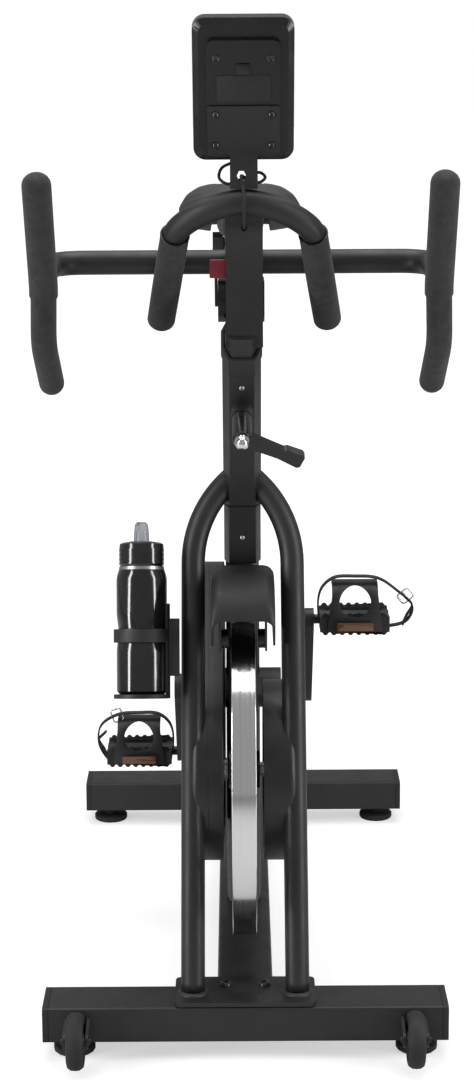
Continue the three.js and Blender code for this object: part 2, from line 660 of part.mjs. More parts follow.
function addFlywheel() {
  const { radius, halfWidth, rimDepth, webHalf, hubRadius, hubHalf } = FLYWHEEL;
  const rimInner = radius - rimDepth;
  const half = [
    [-hubHalf, hubRadius], [-webHalf, hubRadius + 4], [-webHalf, rimInner - 6], [-halfWidth, rimInner],
    [-halfWidth, radius - 1.5], [-halfWidth + 1.5, radius],
  ];
  const mirrored = half.slice().reverse().map(([x, r]) => [-x, r]);
  const centre = groupAt(0, AXLE.y, AXLE.z);
  add('flywheel', 'chrome', turnedX(ringProfile(AXLE.radius + GAP, [...half, ...mirrored]), 40), centre);

  const { radius: beltRadius, inner, outer } = SMALL_PULLEY;
  const flange = beltRadius + 3;
  add('flywheel_pulley', 'steel', turnedX(ringProfile(AXLE.radius + GAP, [
    [-outer - 2, flange], [-outer, flange], [-outer, beltRadius], [-inner, beltRadius], [-inner, flange],
    [-inner + 2, flange], [-inner + 2, 16], [-hubHalf - GAP, 16],
  ]), 20), centre);

  const nuts = [1, -1].map((sign) => rodX(14, ...span(sign, DROPOUT.outer + GAP, DROPOUT.outer + 6), 0, 0, 6));
  add('flywheel_axle', 'steel', join(rodX(AXLE.radius, -66, 66), ...nuts), centre);
}

// The outline of a loop round both drive centres, with the given radii, drawn in (y, z).
function loopOutline(frontRadius, rearRadius) {
  const [dy, dz] = [BRACKET.y - AXLE.y, BRACKET.z - AXLE.z];
  const along = Math.atan2(dz, dy);
  const spread = Math.acos((frontRadius - rearRadius) / Math.hypot(dy, dz));
  const shape = new THREE.Shape();
  shape.absarc(AXLE.y, AXLE.z, frontRadius, along + spread, along - spread + 2 * Math.PI);
  shape.absarc(BRACKET.y, BRACKET.z, rearRadius, along - spread, along + spread);
  shape.closePath();
  return shape;
}

function forkClearance() {
  return [1, -1].map((sign) => pipe(forkPath(sign), FORK.radius + 1));
}

function addDriveCovers() {
  const { radius, inner, outer, wall } = DRUM;
  const { rearRadius, split } = GUARD;
  const crankHole = rodX(14, -90, -20, BRACKET.y, BRACKET.z);
  add('belt_guard_inner', 'plastic', cut(
    alongX(loopOutline(radius, rearRadius), -split, -inner, 9),
    alongX(loopOutline(radius - wall, rearRadius - wall), -split - 1, -inner - wall, 9),
    rodX(20, -35, -20, AXLE.y, AXLE.z),
    crankHole,
  ));
  add('belt_guard_outer', 'plastic', cut(
    alongX(loopOutline(radius, rearRadius), -outer, -split - GAP, 9),
    alongX(loopOutline(radius - wall, rearRadius - wall), -outer + wall, -split + 1, 9),
    crankHole,
    ...forkClearance(),
  ));
  const cup = turnedX([
    [inner, radius - wall], [inner, radius], [outer, radius], [outer, 0], [outer - wall, 0],
    [outer - wall, radius - wall], [inner, radius - wall],
  ], 28).translate(0, AXLE.y, AXLE.z);
  add('hub_cover', 'plastic', cut(cup, ...forkClearance()));
}

function addBelt() {
  const { thickness, inner, outer, clearance } = BELT;
  const [front, rear] = [SMALL_PULLEY.radius + clearance, LARGE_PULLEY.radius + clearance];
  const band = withHole(loopOutline(front + thickness, rear + thickness), loopOutline(front, rear));
  add('drive_belt', 'rubber', alongX(band, -outer, -inner, 12));
}

// The outline of a tapered link from the origin to a point on the +Y axis, drawn in (y, z).
function linkOutline(length, bossRadius, endRadius) {
  const tilt = Math.asin((bossRadius - endRadius) / length);
  const shape = new THREE.Shape();
  shape.absarc(0, 0, bossRadius, Math.PI / 2 - tilt, 1.5 * Math.PI + tilt);
  shape.absarc(length, 0, endRadius, tilt - Math.PI / 2, Math.PI / 2 - tilt);
  shape.closePath();
  return shape;
}

function crankArm(sign) {
  const { length, inner, outer, bossRadius, endRadius } = CRANK;
  const link = alongX(linkOutline(length, bossRadius, endRadius), ...span(sign, inner, outer), 10);
  const pin = rodX(PEDAL.pinRadius, ...span(sign, inner + 2, PEDAL.pinEnd), length, 0, 16);
  return cut(join(link, pin), rodX(BRACKET.axleRadius + GAP, -outer - 1, outer + 1));
}

function addCranks() {
  const centre = groupAt(0, BRACKET.y, BRACKET.z);
  add('crank_axle', 'steel', rodX(BRACKET.axleRadius, -101, 101), centre);
  const { radius, inner, outer } = LARGE_PULLEY;
  add('drive_pulley', 'aluminium', turnedX(ringProfile(BRACKET.axleRadius + GAP, [
    [-outer, 22], [-outer + 4, 24], [-outer + 4, radius - 8], [-outer, radius - 6], [-outer, radius],
    [-inner, radius], [-inner, radius - 6], [-inner - 4, radius - 8], [-inner - 4, 24], [-inner, 22],
  ]), 24), centre);
  for (const [side, sign] of Object.entries(SIDES)) {
    const arm = add(`crank_arm_${side}`, 'powder', crankArm(sign), centre);
    arm.rotation.x = sign > 0 ? CRANK.angle : CRANK.angle - Math.PI;
    const turn = arm.rotation.x;
    const spindle = groupAt(
      sign * PEDAL.x, BRACKET.y + CRANK.length * Math.cos(turn), BRACKET.z + CRANK.length * Math.sin(turn),
    );
    addPedal(side, sign, spindle);
  }
}

function addPedal(side, sign, spindle) {
  const { width, depth, height, barrelRadius, pinRadius } = PEDAL;
  const [half, deep, tall] = [width / 2, depth / 2, height / 2];
  const bars = [-1, 1].map((end) => block(-half, half, end > 0 ? deep - 11 : -deep, end > 0 ? deep : 11 - deep, -tall, tall));
  const sides = [-1, 1].map((end) => block(end > 0 ? half - 9 : -half, end > 0 ? half : 9 - half, -deep + 4, deep - 4, -9, 9));
  const barrel = rodX(barrelRadius, -half, half, 0, 0, 16);
  const body = cut(join(...bars, ...sides, barrel), rodX(pinRadius + 0.4, -half - 1, half + 1, 0, 0, 16));
  add(`pedal_${side}`, 'plastic', body, spindle);
  add(`toe_cage_${side}`, 'plastic', toeCage(), spindle);
  const strap = toeStrap(STRAP.slack[side]);
  add(`toe_strap_${side}`, 'rubber', sign > 0 ? strap : strap.scale(-1, 1, 1), spindle);
}

// The toe cage: a plate that rises in front of the pedal and curves back over the toes, with a round window.
function toeCage() {
  const { width, thickness, front, top } = CAGE;
  const line = [[front, -9], [front, 8], [front - 4, 28], [front, 46], [front + 12, 57], [front + 38, top]];
  const sheet = bentStrip(line, thickness, -width / 2, width / 2);
  const half = width / 2;
  const outline = new THREE.Shape();
  outline.moveTo(-half, -20);
  outline.lineTo(half, -20);
  outline.lineTo(half - 1, 12);
  outline.lineTo(half - 5, 44);
  outline.quadraticCurveTo(half - 6, top + 8, half - 18, top + 8);
  outline.lineTo(18 - half, top + 8);
  outline.quadraticCurveTo(6 - half, top + 8, 5 - half, 44);
  outline.lineTo(1 - half, 12);
  outline.closePath();
  const window = alongY(disc(CAGE.hole, 0, CAGE.holeZ), front - 12, front + 12, 10);
  return cut(common(sheet, alongY(outline, front - 20, front + 60, 5)), window);
}

// The strap: a closed band round the pedal's middle and over the toe cage, with its free end bulging outward.
function toeStrap(slack) {
  const { y, width, thickness } = STRAP;
  const loop = new THREE.CatmullRomCurve3([
    [0, -15], [53, -14], [slack - 8, 0], [slack, 24], [58, 48], [33, 65], [0, 68], [-30, 66], [-47, 50], [-51.5, 22],
    [-51, -14],
  ].map(([x, z]) => point(x, 0, z)), true, 'centripetal');
  const ring = loop.getPoints(30).slice(0, -1);
  const outer = ring.map((p, i) => {
    const along = ring[(i + 1) % ring.length].clone().sub(ring[(i + ring.length - 1) % ring.length]).normalize();
    return [p.x + along.z * thickness, p.z - along.x * thickness];
  });
  const band = withHole(polygon(outer), polygon(ring.map((p) => [p.x, p.z])));
  return alongY(band, y - width / 2, y + width / 2);
}

// ---------------------------------------------------------------- saddle and its post

function addSeatPost() {
  const section = (inset) => {
    const total = POST.inset + inset;
    return roundedRect(SEAT.width - 2 * total, SEAT.depth - 2 * total, SEAT.corner - total + 1);
  };
  const { width, bottom, top, front, back, wall } = CHANNEL;
  const half = width / 2;
  const tube = onSeatTube(alongZ(section(0), POST.low, POST.top, 1));
  const hollow = onSeatTube(alongZ(section(POST.wall), POST.low - 1, POST.top - 20, 1));
  const groove = block(wall - half, half - wall, front - 50, back + 50, bottom + wall, top + 30);
  const screwHole = rodX(4.4, -half - 1, wall + 1 - half, CRADLE.y, bottom + 19, 12);
  add('seat_post', 'steel', cut(join(tube, block(-half, half, front, back, bottom, top)), hollow, groove, screwHole));
}

function addSaddleSlider() {
  const { width, bottom, top, front, back } = SLIDER;
  const ear = new THREE.Shape();
  ear.moveTo(CRADLE.y + 14, top - 1);
  ear.lineTo(CRADLE.y + 12, CRADLE.z);
  ear.absarc(CRADLE.y, CRADLE.z, 12, 0, Math.PI);
  ear.lineTo(CRADLE.y - 14, top - 1);
  ear.closePath();
  const bar = block(-width / 2, width / 2, front, back, bottom, top);
  const hollow = block(3 - width / 2, width / 2 - 3, front - 1, back + 1, bottom + 3, top - 3);
  const yoke = alongX(ear, -CRADLE.earHalf, CRADLE.earHalf, 8);
  const eye = rodX(CRADLE.radius + GAP, -50, 50, CRADLE.y, CRADLE.z);
  add('saddle_slider', 'steel', cut(join(cut(bar, hollow), yoke), eye));
}

function addSaddleRails() {
  const { y, z, radius, halfWidth } = CRADLE;
  const half = [[34, 117, 9], [23, 62, -2], [18.5, -62, -2], [12, -112, 11]];
  const corners = [...half, ...half.slice().reverse().map(([x, dy, dz]) => [-x, dy, dz])];
  const path = new StationPath(bentStations(
    corners.map(([x, dy, dz]) => point(x, y + dy, z + dz)),
    [30, 30, 10, 10, 30, 30],
  ));
  add('saddle_rails', 'steel', join(sweep(path, disc(RAIL_RADIUS), 5), rodX(radius, -halfWidth, halfWidth, y, z)));
}

// One cross-section of the saddle: flat below, domed above, with a shallow groove along the middle.
function saddleSection(y, halfWidth, top, groove) {
  const { bottom } = SADDLE;
  const rise = top - bottom;
  const half = [
    [0, top - groove], [0.22, top - groove * 0.5], [0.45, top], [0.68, top - rise * 0.06],
    [0.88, top - rise * 0.24], [1, top - rise * 0.55], [0.97, bottom + rise * 0.12], [0.88, bottom],
  ];
  const right = half.map(([across, z]) => point(across * halfWidth, y, z));
  const left = half.slice(1).reverse().map(([across, z]) => point(-across * halfWidth, y, z));
  return [...right, ...left];
}

function addSaddle() {
  const { nose, tail, bottom, cavity, cavityHalf, noseHalf } = SADDLE;
  const body = loft([
    saddleSection(nose, 16, bottom + 32, 0),
    saddleSection(nose + 12, 27, bottom + 46, 1),
    saddleSection(nose + 70, 31, bottom + 56, 4),
    saddleSection(nose + 130, 46, bottom + 58, 6),
    saddleSection(nose + 185, 82, bottom + 60, 7),
    saddleSection(nose + 225, 97, bottom + 64, 8),
    saddleSection(tail - 28, 95, bottom + 65, 7),
    saddleSection(tail - 8, 78, bottom + 60, 5),
    saddleSection(tail, 56, bottom + 46, 3),
  ]);
  const well = block(-cavityHalf, cavityHalf, nose + 24, tail - 24, bottom - 20, cavity);
  const narrow = block(-cavityHalf - 1, -noseHalf, nose, nose + 95, bottom - 30, cavity + 1);
  const keep = cut(well, narrow, narrow.clone().scale(-1, 1, 1));
  add('saddle', 'leather', cut(body, keep));
}

// A lobed hand knob about the Z axis.
function lobedKnob(radius, low, high) {
  const lobes = 6;
  const shape = new THREE.Shape();
  for (let i = 0; i < lobes; i += 1) {
    const angle = (2 * Math.PI * i) / lobes;
    const centre = new THREE.Vector2(Math.cos(angle), Math.sin(angle)).multiplyScalar(radius * 0.7);
    shape.absarc(centre.x, centre.y, radius * 0.3, angle - Math.PI / 2.4, angle + Math.PI / 2.4);
  }
  shape.closePath();
  return alongZ(shape, low, high, 4);
}

function addSeatKnobs() {
  const tube = groupAt(0, BRACKET.y, BRACKET.z, -SEAT.lean);
  const pull = groupAt(0, SEAT.depth / 2, SEAT.top - 32, -Math.PI / 2, tube);
  const pin = turnedZ([
    [-2.5, 0], [-2.5, 6], [14 + GAP, 6], [14 + GAP, 11], [28, 11], [30, 20], [34, 22], [44, 22], [47, 19], [48, 0],
  ]);
  add('seat_height_knob', 'plastic', pin, pull);

  const side = new THREE.Group();
  side.position.set(0, CRADLE.y, CHANNEL.bottom + 19);
  side.rotation.y = -Math.PI / 2;
  bike.add(side);
  const face = CHANNEL.width / 2 + GAP;
  const knob = join(lobedKnob(17.5, face + 3, face + 19), rodZ(10, face, face + 4), rodZ(4, SLIDER.width / 2 + GAP, face + 4, 0, 0, 12));
  add('saddle_slide_knob', 'plastic', knob, side);
}

// ---------------------------------------------------------------- handlebar

function crossbarPath() {
  const { y, z } = CROSSBAR;
  return new StationPath(bentStations([
    point(249.5, FACE + 52, z - 4), point(249, y, z), point(-249, y, z), point(-249.5, FACE + 52, z - 4),
  ], [42, 42]));
}

function hornPath(sign) {
  return new StationPath(bentStations([
    point(sign * 249, FACE - 30, 1160), point(sign * 250, FACE + 56, 1024),
    point(sign * 253, FACE + 74, 950), point(sign * 248, FACE + 146, 882),
  ], [60, 70], 12 * DEG));
}

function addMainBar() {
  const horns = Object.values(SIDES).map(hornPath);
  const outer = [pipe(crossbarPath(), CROSSBAR.radius), ...horns.map((path) => pipe(path, HORN.radius))];
  const inner = [
    bore(crossbarPath(), CROSSBAR.radius - CROSSBAR.wall),
    ...horns.map((path) => bore(path, HORN.radius - HORN.wall)),
  ];
  add('main_bar', 'powder', cut(join(...outer), join(...inner)));
}

const GRIP_END = point(110.5, FACE + 205, 965.5);
const GRIP_TOP = point(88, FACE + 85, 1087);

// The upper bar: straight grips joined by a smooth arch across the front.
function upperBarPath() {
  const { y, z, gripPull, topPull } = UPPER_BAR;
  const centre = point(0, y, z);
  const along = GRIP_TOP.clone().sub(GRIP_END).normalize();
  const arch = new THREE.CubicBezierCurve3(
    GRIP_TOP, GRIP_TOP.clone().addScaledVector(along, gripPull), point(topPull, y, z), centre,
  ).getPoints(8);
  const half = [GRIP_END, ...arch];
  const other = half.slice(0, -1).reverse().map((p) => point(-p.x, p.y, p.z));
  return new StationPath([...half, ...other].map((p) => point(p.x + STEM.x, p.y, p.z)));
}

function addUpperBar() {
  const { radius, wall } = UPPER_BAR;
  add('aero_bar', 'powder', cut(pipe(upperBarPath(), radius), bore(upperBarPath(), radius - wall)));
  for (const [side, sign] of Object.entries(SIDES)) {
    const mirror = (p) => point(STEM.x + sign * p.x, p.y, p.z);
    const [end, top] = [mirror(GRIP_END), mirror(GRIP_TOP)];
    const { radius: thick, length } = GRIP;
    const sleeve = turnedZ([
      [-7, 0], [-7, thick - 6], [-5, thick - 2], [-1, thick], [length, thick], [length, radius + GAP],
      [-GAP, radius + GAP], [-GAP, 0],
    ], 20);
    const grip = add(`foam_grip_${side}`, 'foam', sleeve);
    grip.position.copy(end);
    grip.quaternion.setFromUnitVectors(point(0, 0, 1), top.sub(end).normalize());
  }
}

// The stem's side view: it rises from the collar, swells back to the crossbar and reaches forward to the upper bar.
function stemOutline(grow) {
  const shape = new THREE.Shape();
  shape.moveTo(FACE + 109 - grow, 940);
  shape.quadraticCurveTo(FACE + 122 - grow, 1000, FACE + 106 - grow, 1056);
  shape.quadraticCurveTo(FACE + 96 - grow, 1094, FACE + 53, 1121 - grow);
  shape.lineTo(FACE + 56, 1140 + grow);
  shape.quadraticCurveTo(FACE + 118, 1134 + grow, FACE + 165 + grow, 1085);
  shape.lineTo(FACE + 190 + grow, 1058);
  shape.lineTo(FACE + 190 + grow, 1028);
  shape.quadraticCurveTo(FACE + 175 + grow, 1000, FACE + 155 + grow, 973);
  shape.closePath();
  return shape;
}

function addHandlebarPost() {
  const { low, high, wall, width, depth } = BAR_POST;
  const post = onHead(alongZ(octagon(BAR_POST), low, high));
  const hollow = onHead(alongZ(roundedRect(width - 2 * wall - 8, depth - 2 * wall - 8, 3), low - 1, high - 30, 1));
  add('handlebar_post', 'powder', cut(
    join(post, alongX(stemOutline(0), STEM.x - STEM.halfWidth, STEM.x + STEM.halfWidth, 5)),
    hollow,
    pipe(crossbarPath(), CROSSBAR.radius + GAP),
    pipe(upperBarPath(), UPPER_BAR.radius + GAP),
    sweep(cablePath(), disc(2 * CABLE_RADIUS), 3),
  ));
}

function addResistanceControl() {
  const { halfWidth, front, back, bottom, top } = HOUSING;
  const side = polygon([
    [front, bottom + 10], [front, top], [back - 14, top], [back, top - 14], [back, bottom + 20], [back - 20, bottom],
    [front + 20, bottom],
  ]);
  const shell = alongX(side, -halfWidth, halfWidth);
  const notch = cut(
    block(-halfWidth - 1, STEM.x - STEM.halfWidth, TAB.y - TAB_NOTCH.front, TAB.y, TAB.z + TAB_NOTCH.low, TAB.z + TAB_NOTCH.high),
    rodX(TAB_NOTCH.radius, -halfWidth - 2, 0, TAB.y, TAB.z, 32),
  );
  add('resistance_housing', 'plastic', cut(
    shell,
    notch,
    alongX(stemOutline(GAP), STEM.x - STEM.halfWidth - GAP, STEM.x + STEM.halfWidth + GAP, 5),
    headPrism(COLLAR.proud + 1, 150, 250),
    pipe(crossbarPath(), CROSSBAR.radius + GAP),
    rodX(3.4, -halfWidth - 1, 8 - halfWidth, TAB.y, TAB.z, 12),
  ));
  const pivot = groupAt(0, TAB.y, TAB.z);
  const face = -halfWidth - GAP;
  const arm = polygon([[-8, -6], [6, -8], [8, 2], [-17, 33], [-26, 33], [-24, 20]]);
  add('resistance_lever', 'red', join(
    rodX(10, face - 4, face, 0, 0, 16),
    rodX(3, face - 1, 7 - halfWidth, 0, 0, 12),
    alongX(arm, face - 4, face),
    block(-TAB.outer, STEM.x - STEM.halfWidth - GAP, -TAB.front, -TAB.back, TAB.low, TAB.high),
  ), pivot);
}

// ---------------------------------------------------------------- console

function addConsole() {
  const frame = groupAt(STEM.x, CONSOLE.y, CONSOLE.z, CONSOLE.tilt);
  const { width, height, corner } = CONSOLE;
  const front = loft([
    consoleSection(width, height, corner, GAP),
    consoleSection(width, height, corner, 9),
    consoleSection(width - 8, height - 8, corner - 4, 14),
  ]);
  add('console_front', 'gloss', front, frame);
  const rear = loft([
    consoleSection(width, height, corner, 0),
    consoleSection(width, height, corner, -6),
    consoleSection(width - 14, height - 14, corner - 4, -12),
  ]);
  const bulge = alongY(roundedRect(92, 150, 8), -20, -11, 1).translate(0, 0, -8);
  add('console_back', 'plastic', join(rear, bulge), frame);
  addConsoleBracket(frame);
}

function consoleSection(width, height, corner, y) {
  return roundedRect(width, height, corner).getPoints(5).slice(0, -1).map((p) => point(p.x, y, p.y));
}

// A screw plate on the console's back, bent into a strip that runs down to the upper bar.
function addConsoleBracket(frame) {
  const { width, thickness } = STRIP;
  const plate = alongY(roundedRect(90, 62, 3), -20 - GAP - thickness, -20 - GAP, 1).translate(0, 0, -47);
  const strip = bentStrip([
    [-63.3, -109.7], [-49.9, -113.8], [-21.8, -80], [-20 - GAP, -70], [-20 - GAP, -58],
  ], thickness, -width / 2, width / 2);
  const cableHole = alongY(disc(6, -3, -100.5), -60, -25);
  add('console_bracket', 'powder', cut(join(plate, strip), cableHole), frame);
}

// The sensor cable: a loop and a bundle under the console, then through the bracket and over the bar to the stem.
function cablePath() {
  const knots = [
    [-10, 94, 1178], [-24, 88, 1171], [-27, 80, 1159], [-16, 76, 1152], [4, 80, 1159], [24, 78, 1166], [31, 76, 1160],
    [24, 74, 1154], [10, 74, 1157], [1, 64, 1163], [2, 50, 1156], [3, 37, 1149], [4, 32.5, 1134], [4, 38, 1116],
    [4, 60, 1102], [4, 88, 1095], [4, 106, 1093],
  ].map(([x, y, z]) => point(x, FACE + y, z));
  return new StationPath(new THREE.CatmullRomCurve3(knots, false, 'centripetal').getPoints(40));
}

function addConsoleCable() {
  add('console_cable', 'rubber', sweep(cablePath(), disc(CABLE_RADIUS), 2));
}

// ---------------------------------------------------------------- bottle

function addBottle() {
  const leg = groupAt(0, FRONT_Y, PLATE_TOP, -FORK.lean);
  const axis = groupAt(BOTTLE.x, BOTTLE.y, 0, 0, leg);
  const { bottom, shoulder, top, radius, capTop, spoutTop } = BOTTLE;
  add('bottle', 'gloss', turnedZ([
    [bottom, 0], [bottom, radius - 4], [bottom + 4, radius], [bottom + 60, radius], [bottom + 84, radius - 2.5],
    [bottom + 108, radius], [shoulder, radius], [top, 29], [top, 27], [top + 16, 27], [top + 16, 0],
  ]), axis);
  add('bottle_cap', 'gloss', turnedZ([
    [top + GAP, 27 + GAP], [top + GAP, 29], [top + 8, 30.5], [capTop - 3, 30.5], [capTop, 27], [capTop + 2, 13],
    [spoutTop - 3, 10.5], [spoutTop, 7], [spoutTop, 0], [top + 16 + GAP, 0], [top + 16 + GAP, 27 + GAP],
    [top + GAP, 27 + GAP],
  ]), axis);
  add('bottle_cage', 'plastic', bottleCage(), axis);
}

function bottleCage() {
  const { inner, outer, bottom, top, bandLow, bandHigh } = HOLDER;
  const floorTop = BOTTLE.bottom - GAP;
  const ring = (low, high, bore) => cut(rodZ(outer, low, high, 0, 0, 24), rodZ(bore, low - 1, high + 1, 0, 0, 24));
  const strip = common(ring(bottom, top, inner), block(20, 60, -14, 14, bottom - 1, top + 1));
  const mount = block(outer - 1.5, 50.5, -12, 12, bottom + 30, top - 20);
  return join(ring(bandLow, bandHigh, inner), ring(bottom, floorTop, 16), strip, mount);
}

// ---------------------------------------------------------------- assembly

addStabilisers();
addFeet();
addTransportWheels();
addLowerBeam();
addForkLegs();
addHead();
addBrakeShield();
addMagnetBracket();
addHeightLever();
addSeatTube();
addBackbone();
addFlywheel();
addDriveCovers();
addBelt();
addCranks();
addSeatPost();
addSaddleSlider();
addSaddleRails();
addSaddle();
addSeatKnobs();
addMainBar();
addUpperBar();
addHandlebarPost();
addResistanceControl();
addConsole();
addConsoleCable();
addBottle();

export default bike;
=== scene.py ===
"""Indoor spin bike: its looks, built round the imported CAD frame.

Metres, +Z up. The front of the bike faces -Y and the rider's left is +X.
"""

import math

import bmesh
import bpy
from mathutils import Matrix, Vector


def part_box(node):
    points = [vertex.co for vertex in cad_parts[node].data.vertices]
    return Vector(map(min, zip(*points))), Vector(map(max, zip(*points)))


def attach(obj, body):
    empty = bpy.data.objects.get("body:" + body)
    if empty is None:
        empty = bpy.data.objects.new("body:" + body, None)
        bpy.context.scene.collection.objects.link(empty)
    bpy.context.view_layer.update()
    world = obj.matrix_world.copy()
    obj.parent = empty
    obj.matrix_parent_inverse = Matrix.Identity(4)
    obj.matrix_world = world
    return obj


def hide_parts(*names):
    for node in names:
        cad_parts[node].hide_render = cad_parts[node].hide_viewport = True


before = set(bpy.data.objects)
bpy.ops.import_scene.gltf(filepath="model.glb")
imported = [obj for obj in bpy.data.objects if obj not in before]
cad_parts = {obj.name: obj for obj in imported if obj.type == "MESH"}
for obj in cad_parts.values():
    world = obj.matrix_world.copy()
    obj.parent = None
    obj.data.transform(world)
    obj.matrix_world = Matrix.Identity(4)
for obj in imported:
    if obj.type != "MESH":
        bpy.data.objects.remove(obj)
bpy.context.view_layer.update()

# ------------------------------------------------------------------ driving dimensions

MM = 0.001
SIDES = {"left": 1, "right": -1}
FACE = -0.481  # front face of the front stabiliser
ROUND = 48  # sides of a round piece
FINE_ROUND = 12  # sides of a thin wire
CREASE = 42  # degrees past which a turned piece's edge stays sharp
DOME_TURN = math.radians(86)  # how far round a tube's domed end goes
MERGE = 1e-6  # points nearer than this are one point
FINE_BEVEL = 0.0004

FORK_LEAN = math.radians(15)
HEAD_LEAN = math.radians(24)
FRONT_Y = FACE + 0.040
PLATE_TOP = 0.0813
FORK = {"radius": 0.016, "foot_x": 0.070, "top_x": 0.0665, "bend_along": 0.641, "bend_radius": 0.152}
FORK_BEND = math.radians(47)
FORK_PAST_BEND = 0.008
DROPOUT = {"inner": 0.055, "outer": 0.061, "reach": 0.024, "low": 0.292, "high": 0.382}
PLATE_BOLT = {"x": 0.0262, "y": FACE + 0.062, "radius": 0.0080}
HEAD = {"y": FACE + 0.228, "z": 0.740, "front": -0.033, "screw_along": 0.172, "clamp_along": 0.140}
NECK_SCREW = (0, FACE + 0.204, 0.668)

AXLE = Vector((0, FACE + 0.215, 0.337))
BRACKET = Vector((0, FACE + 0.510, 0.3725))
FLYWHEEL = {"radius": 0.228, "half": 0.0163, "rim": 0.030, "web": 0.004, "hub": 0.026, "hub_half": 0.022}
FLYWHEEL_BORE = 0.0103
DRUM = {"radius": 0.125, "rear_radius": 0.190, "inner": 0.027, "outer": 0.072, "split": 0.048}
DRUM_WALL = 0.003
DRUM_CORNER = 0.011
GUARD_CORNER = 0.002
GUARD_GAP = 0.0003

CRANK = {"length": 0.172, "angle": math.radians(129.5)}
PEDAL = {"x": 0.161, "half_width": 0.050, "half_depth": 0.037, "half_height": 0.011}
TEETH = {"count": 8, "depth": 0.0052, "base": 0.001, "thick": 0.004, "inset": 0.0055, "side": 0.002}
REFLECTOR = {"width": 0.052, "height": 0.012, "corner": 0.002, "depth": 0.0016, "drop": 0.001, "gap": 0.0002}
CAGE = {"half": 0.039, "thick": 0.0035, "hole": 0.0225, "hole_z": 0.034, "taper": 0.006, "taper_top": 0.045}
CAGE_FACE = 0.0450  # the toe cage's front face, ahead of the pedal's spindle
# The toe cage's side view, in (y, z) from the pedal's spindle.
CAGE_LINE = [
    (-0.0415, -0.009), (-0.0415, 0.008), (-0.0455, 0.028),
    (-0.0415, 0.046), (-0.0295, 0.057), (-0.0035, 0.060),
]
STRAP = {"y": -0.023, "width": 0.012, "thick": 0.0025, "slack": {"left": 0.082, "right": 0.062}}
BUCKLE = {"width": 0.020, "height": 0.016, "corner": 0.004, "wire": 0.0013, "bar": 0.0016}
# Where each buckle sits, out and up from its pedal's spindle, and how far it leans.
BUCKLE_AT = {"left": (0.073, 0.039, math.radians(-40)), "right": (0.034, 0.0645, math.radians(-70))}

STEM_X = 0.004
LEVER_PIVOT = Vector((0, FACE + 0.190, 0.994))
LEVER_TIP = {"width": 0.0213, "height": 0.0238, "corner": 0.0025, "depth": 0.0118, "bevel": 0.0010}
LEVER_TIP_AT = Vector((-0.03075, -0.0304, 0.0425))  # from the lever's pivot
GROMMET = {"y": FACE + 0.0935, "z": 1.0945, "tilt": math.radians(78), "bore": 0.0045, "outer": 0.0075}
CONSOLE = {"centre": Vector((STEM_X, FACE + 0.0725, 1.271)), "tilt": math.radians(17)}
GRIP = {"radius": 0.0185, "length": 0.172, "bore": 0.0163}
GRIP_END = Vector((0.1105, FACE + 0.205, 0.9655))
GRIP_TOP = Vector((0.088, FACE + 0.085, 1.087))
UPPER_BAR = {"y": FACE + 0.053, "z": 1.131, "radius": 0.016, "grip_pull": 0.026, "top_pull": 0.031}
CROSSBAR = {
    "radius": 0.016,
    "bend": 0.042,
    "end": (0.2495, FACE + 0.052, 1.039),
    "corner": (0.249, FACE + 0.190, 1.043),
}
HORN = {
    "radius": 0.0172,
    "dome": 0.014,
    "step_z": 1.012,  # the sleeve is thicker above this height
    "thicker": 0.0012,
    "thinner": -0.0006,
    "corners": [
        (0.249, FACE - 0.0364, 1.1701),
        (0.250, FACE + 0.056, 1.024),
        (0.253, FACE + 0.074, 0.950),
        (0.248, FACE + 0.146, 0.882),
    ],
    "bends": [0.060, 0.070],
}

# The console's small parts, placed by x and z from its centre and by depth behind its seam.
BRACKET_SCREW = {"x": 0.035, "rows": (-0.027, -0.067), "back": 0.0233, "radius": 0.0046}
SHELL_SCREW = {"rows": ((0.077, 0.052), (0.0, 0.0555), (-0.083, 0.052)), "back": 0.0085, "radius": 0.0028}
SCREW_WELL = {"x": 0.034, "z": 0.044, "back": 0.0201}
DOOR_BACK = 0.0202
DOOR = {"width": 0.066, "height": 0.034, "corner": 0.003, "depth": 0.0008, "z": 0.006}
LATCH = {"width": 0.017, "height": 0.014, "corner": 0.003, "depth": 0.0022, "z": 0.031}
SCREEN_FRONT = 0.0141
SCREEN = {"width": 0.100, "height": 0.110, "corner": 0.005, "depth": 0.0009, "z": 0.012}
KEY = {"width": 0.020, "height": 0.011, "corner": 0.004, "depth": 0.0018, "z": -0.068}
KEY_PITCH = 0.030

BOTTLE = {"x": -0.136, "y": -0.018, "bottom": 0.399, "shoulder": 0.559, "top": 0.570, "radius": 0.034}
BOTTLE_WAIST = 0.0025
BOTTLE_CAP = {"top": 0.602, "spout": 0.630, "radius": 0.0305, "ridges": 8, "ridge_pitch": 0.003}
SADDLE_VOXEL = 0.005
SADDLE_SWELL = 0.004  # the furthest a point of the cover may move
SADDLE_PRESSURE = 4.0
SWELL_FRAMES = 20
WELL_TOP = 1.0685  # below this, inside the well's edges, the underside stays as it is
SADDLE_TOP_FROM = 0.040  # only the cover above this height over its lowest point is pressed
CHANNEL = {"half": 0.009, "depth": 0.0035}
SEAM = {"half": 0.0022, "depth": 0.0012, "x": 0.016, "spread": 0.034, "spread_from": 0.30}
CABLE = {"diameter": 0.004, "length": 0.278}

# The console cable's route, in millimetres: across, behind the stabiliser's front face, and up.
CABLE_ROUTE = [
    (-10, 94, 1178), (-24, 88, 1171), (-27, 80, 1159), (-16, 76, 1152), (4, 80, 1159), (24, 78, 1166),
    (31, 76, 1160), (24, 74, 1154), (10, 74, 1157), (1, 64, 1163), (2, 50, 1156), (3, 37, 1149),
    (4, 32.5, 1134), (4, 38, 1116), (4, 60, 1102), (4, 88, 1095), (4, 106, 1093),
]

# ------------------------------------------------------------------ camera, floor and light

AMBIENT = 0.34  # strength of the light from all round

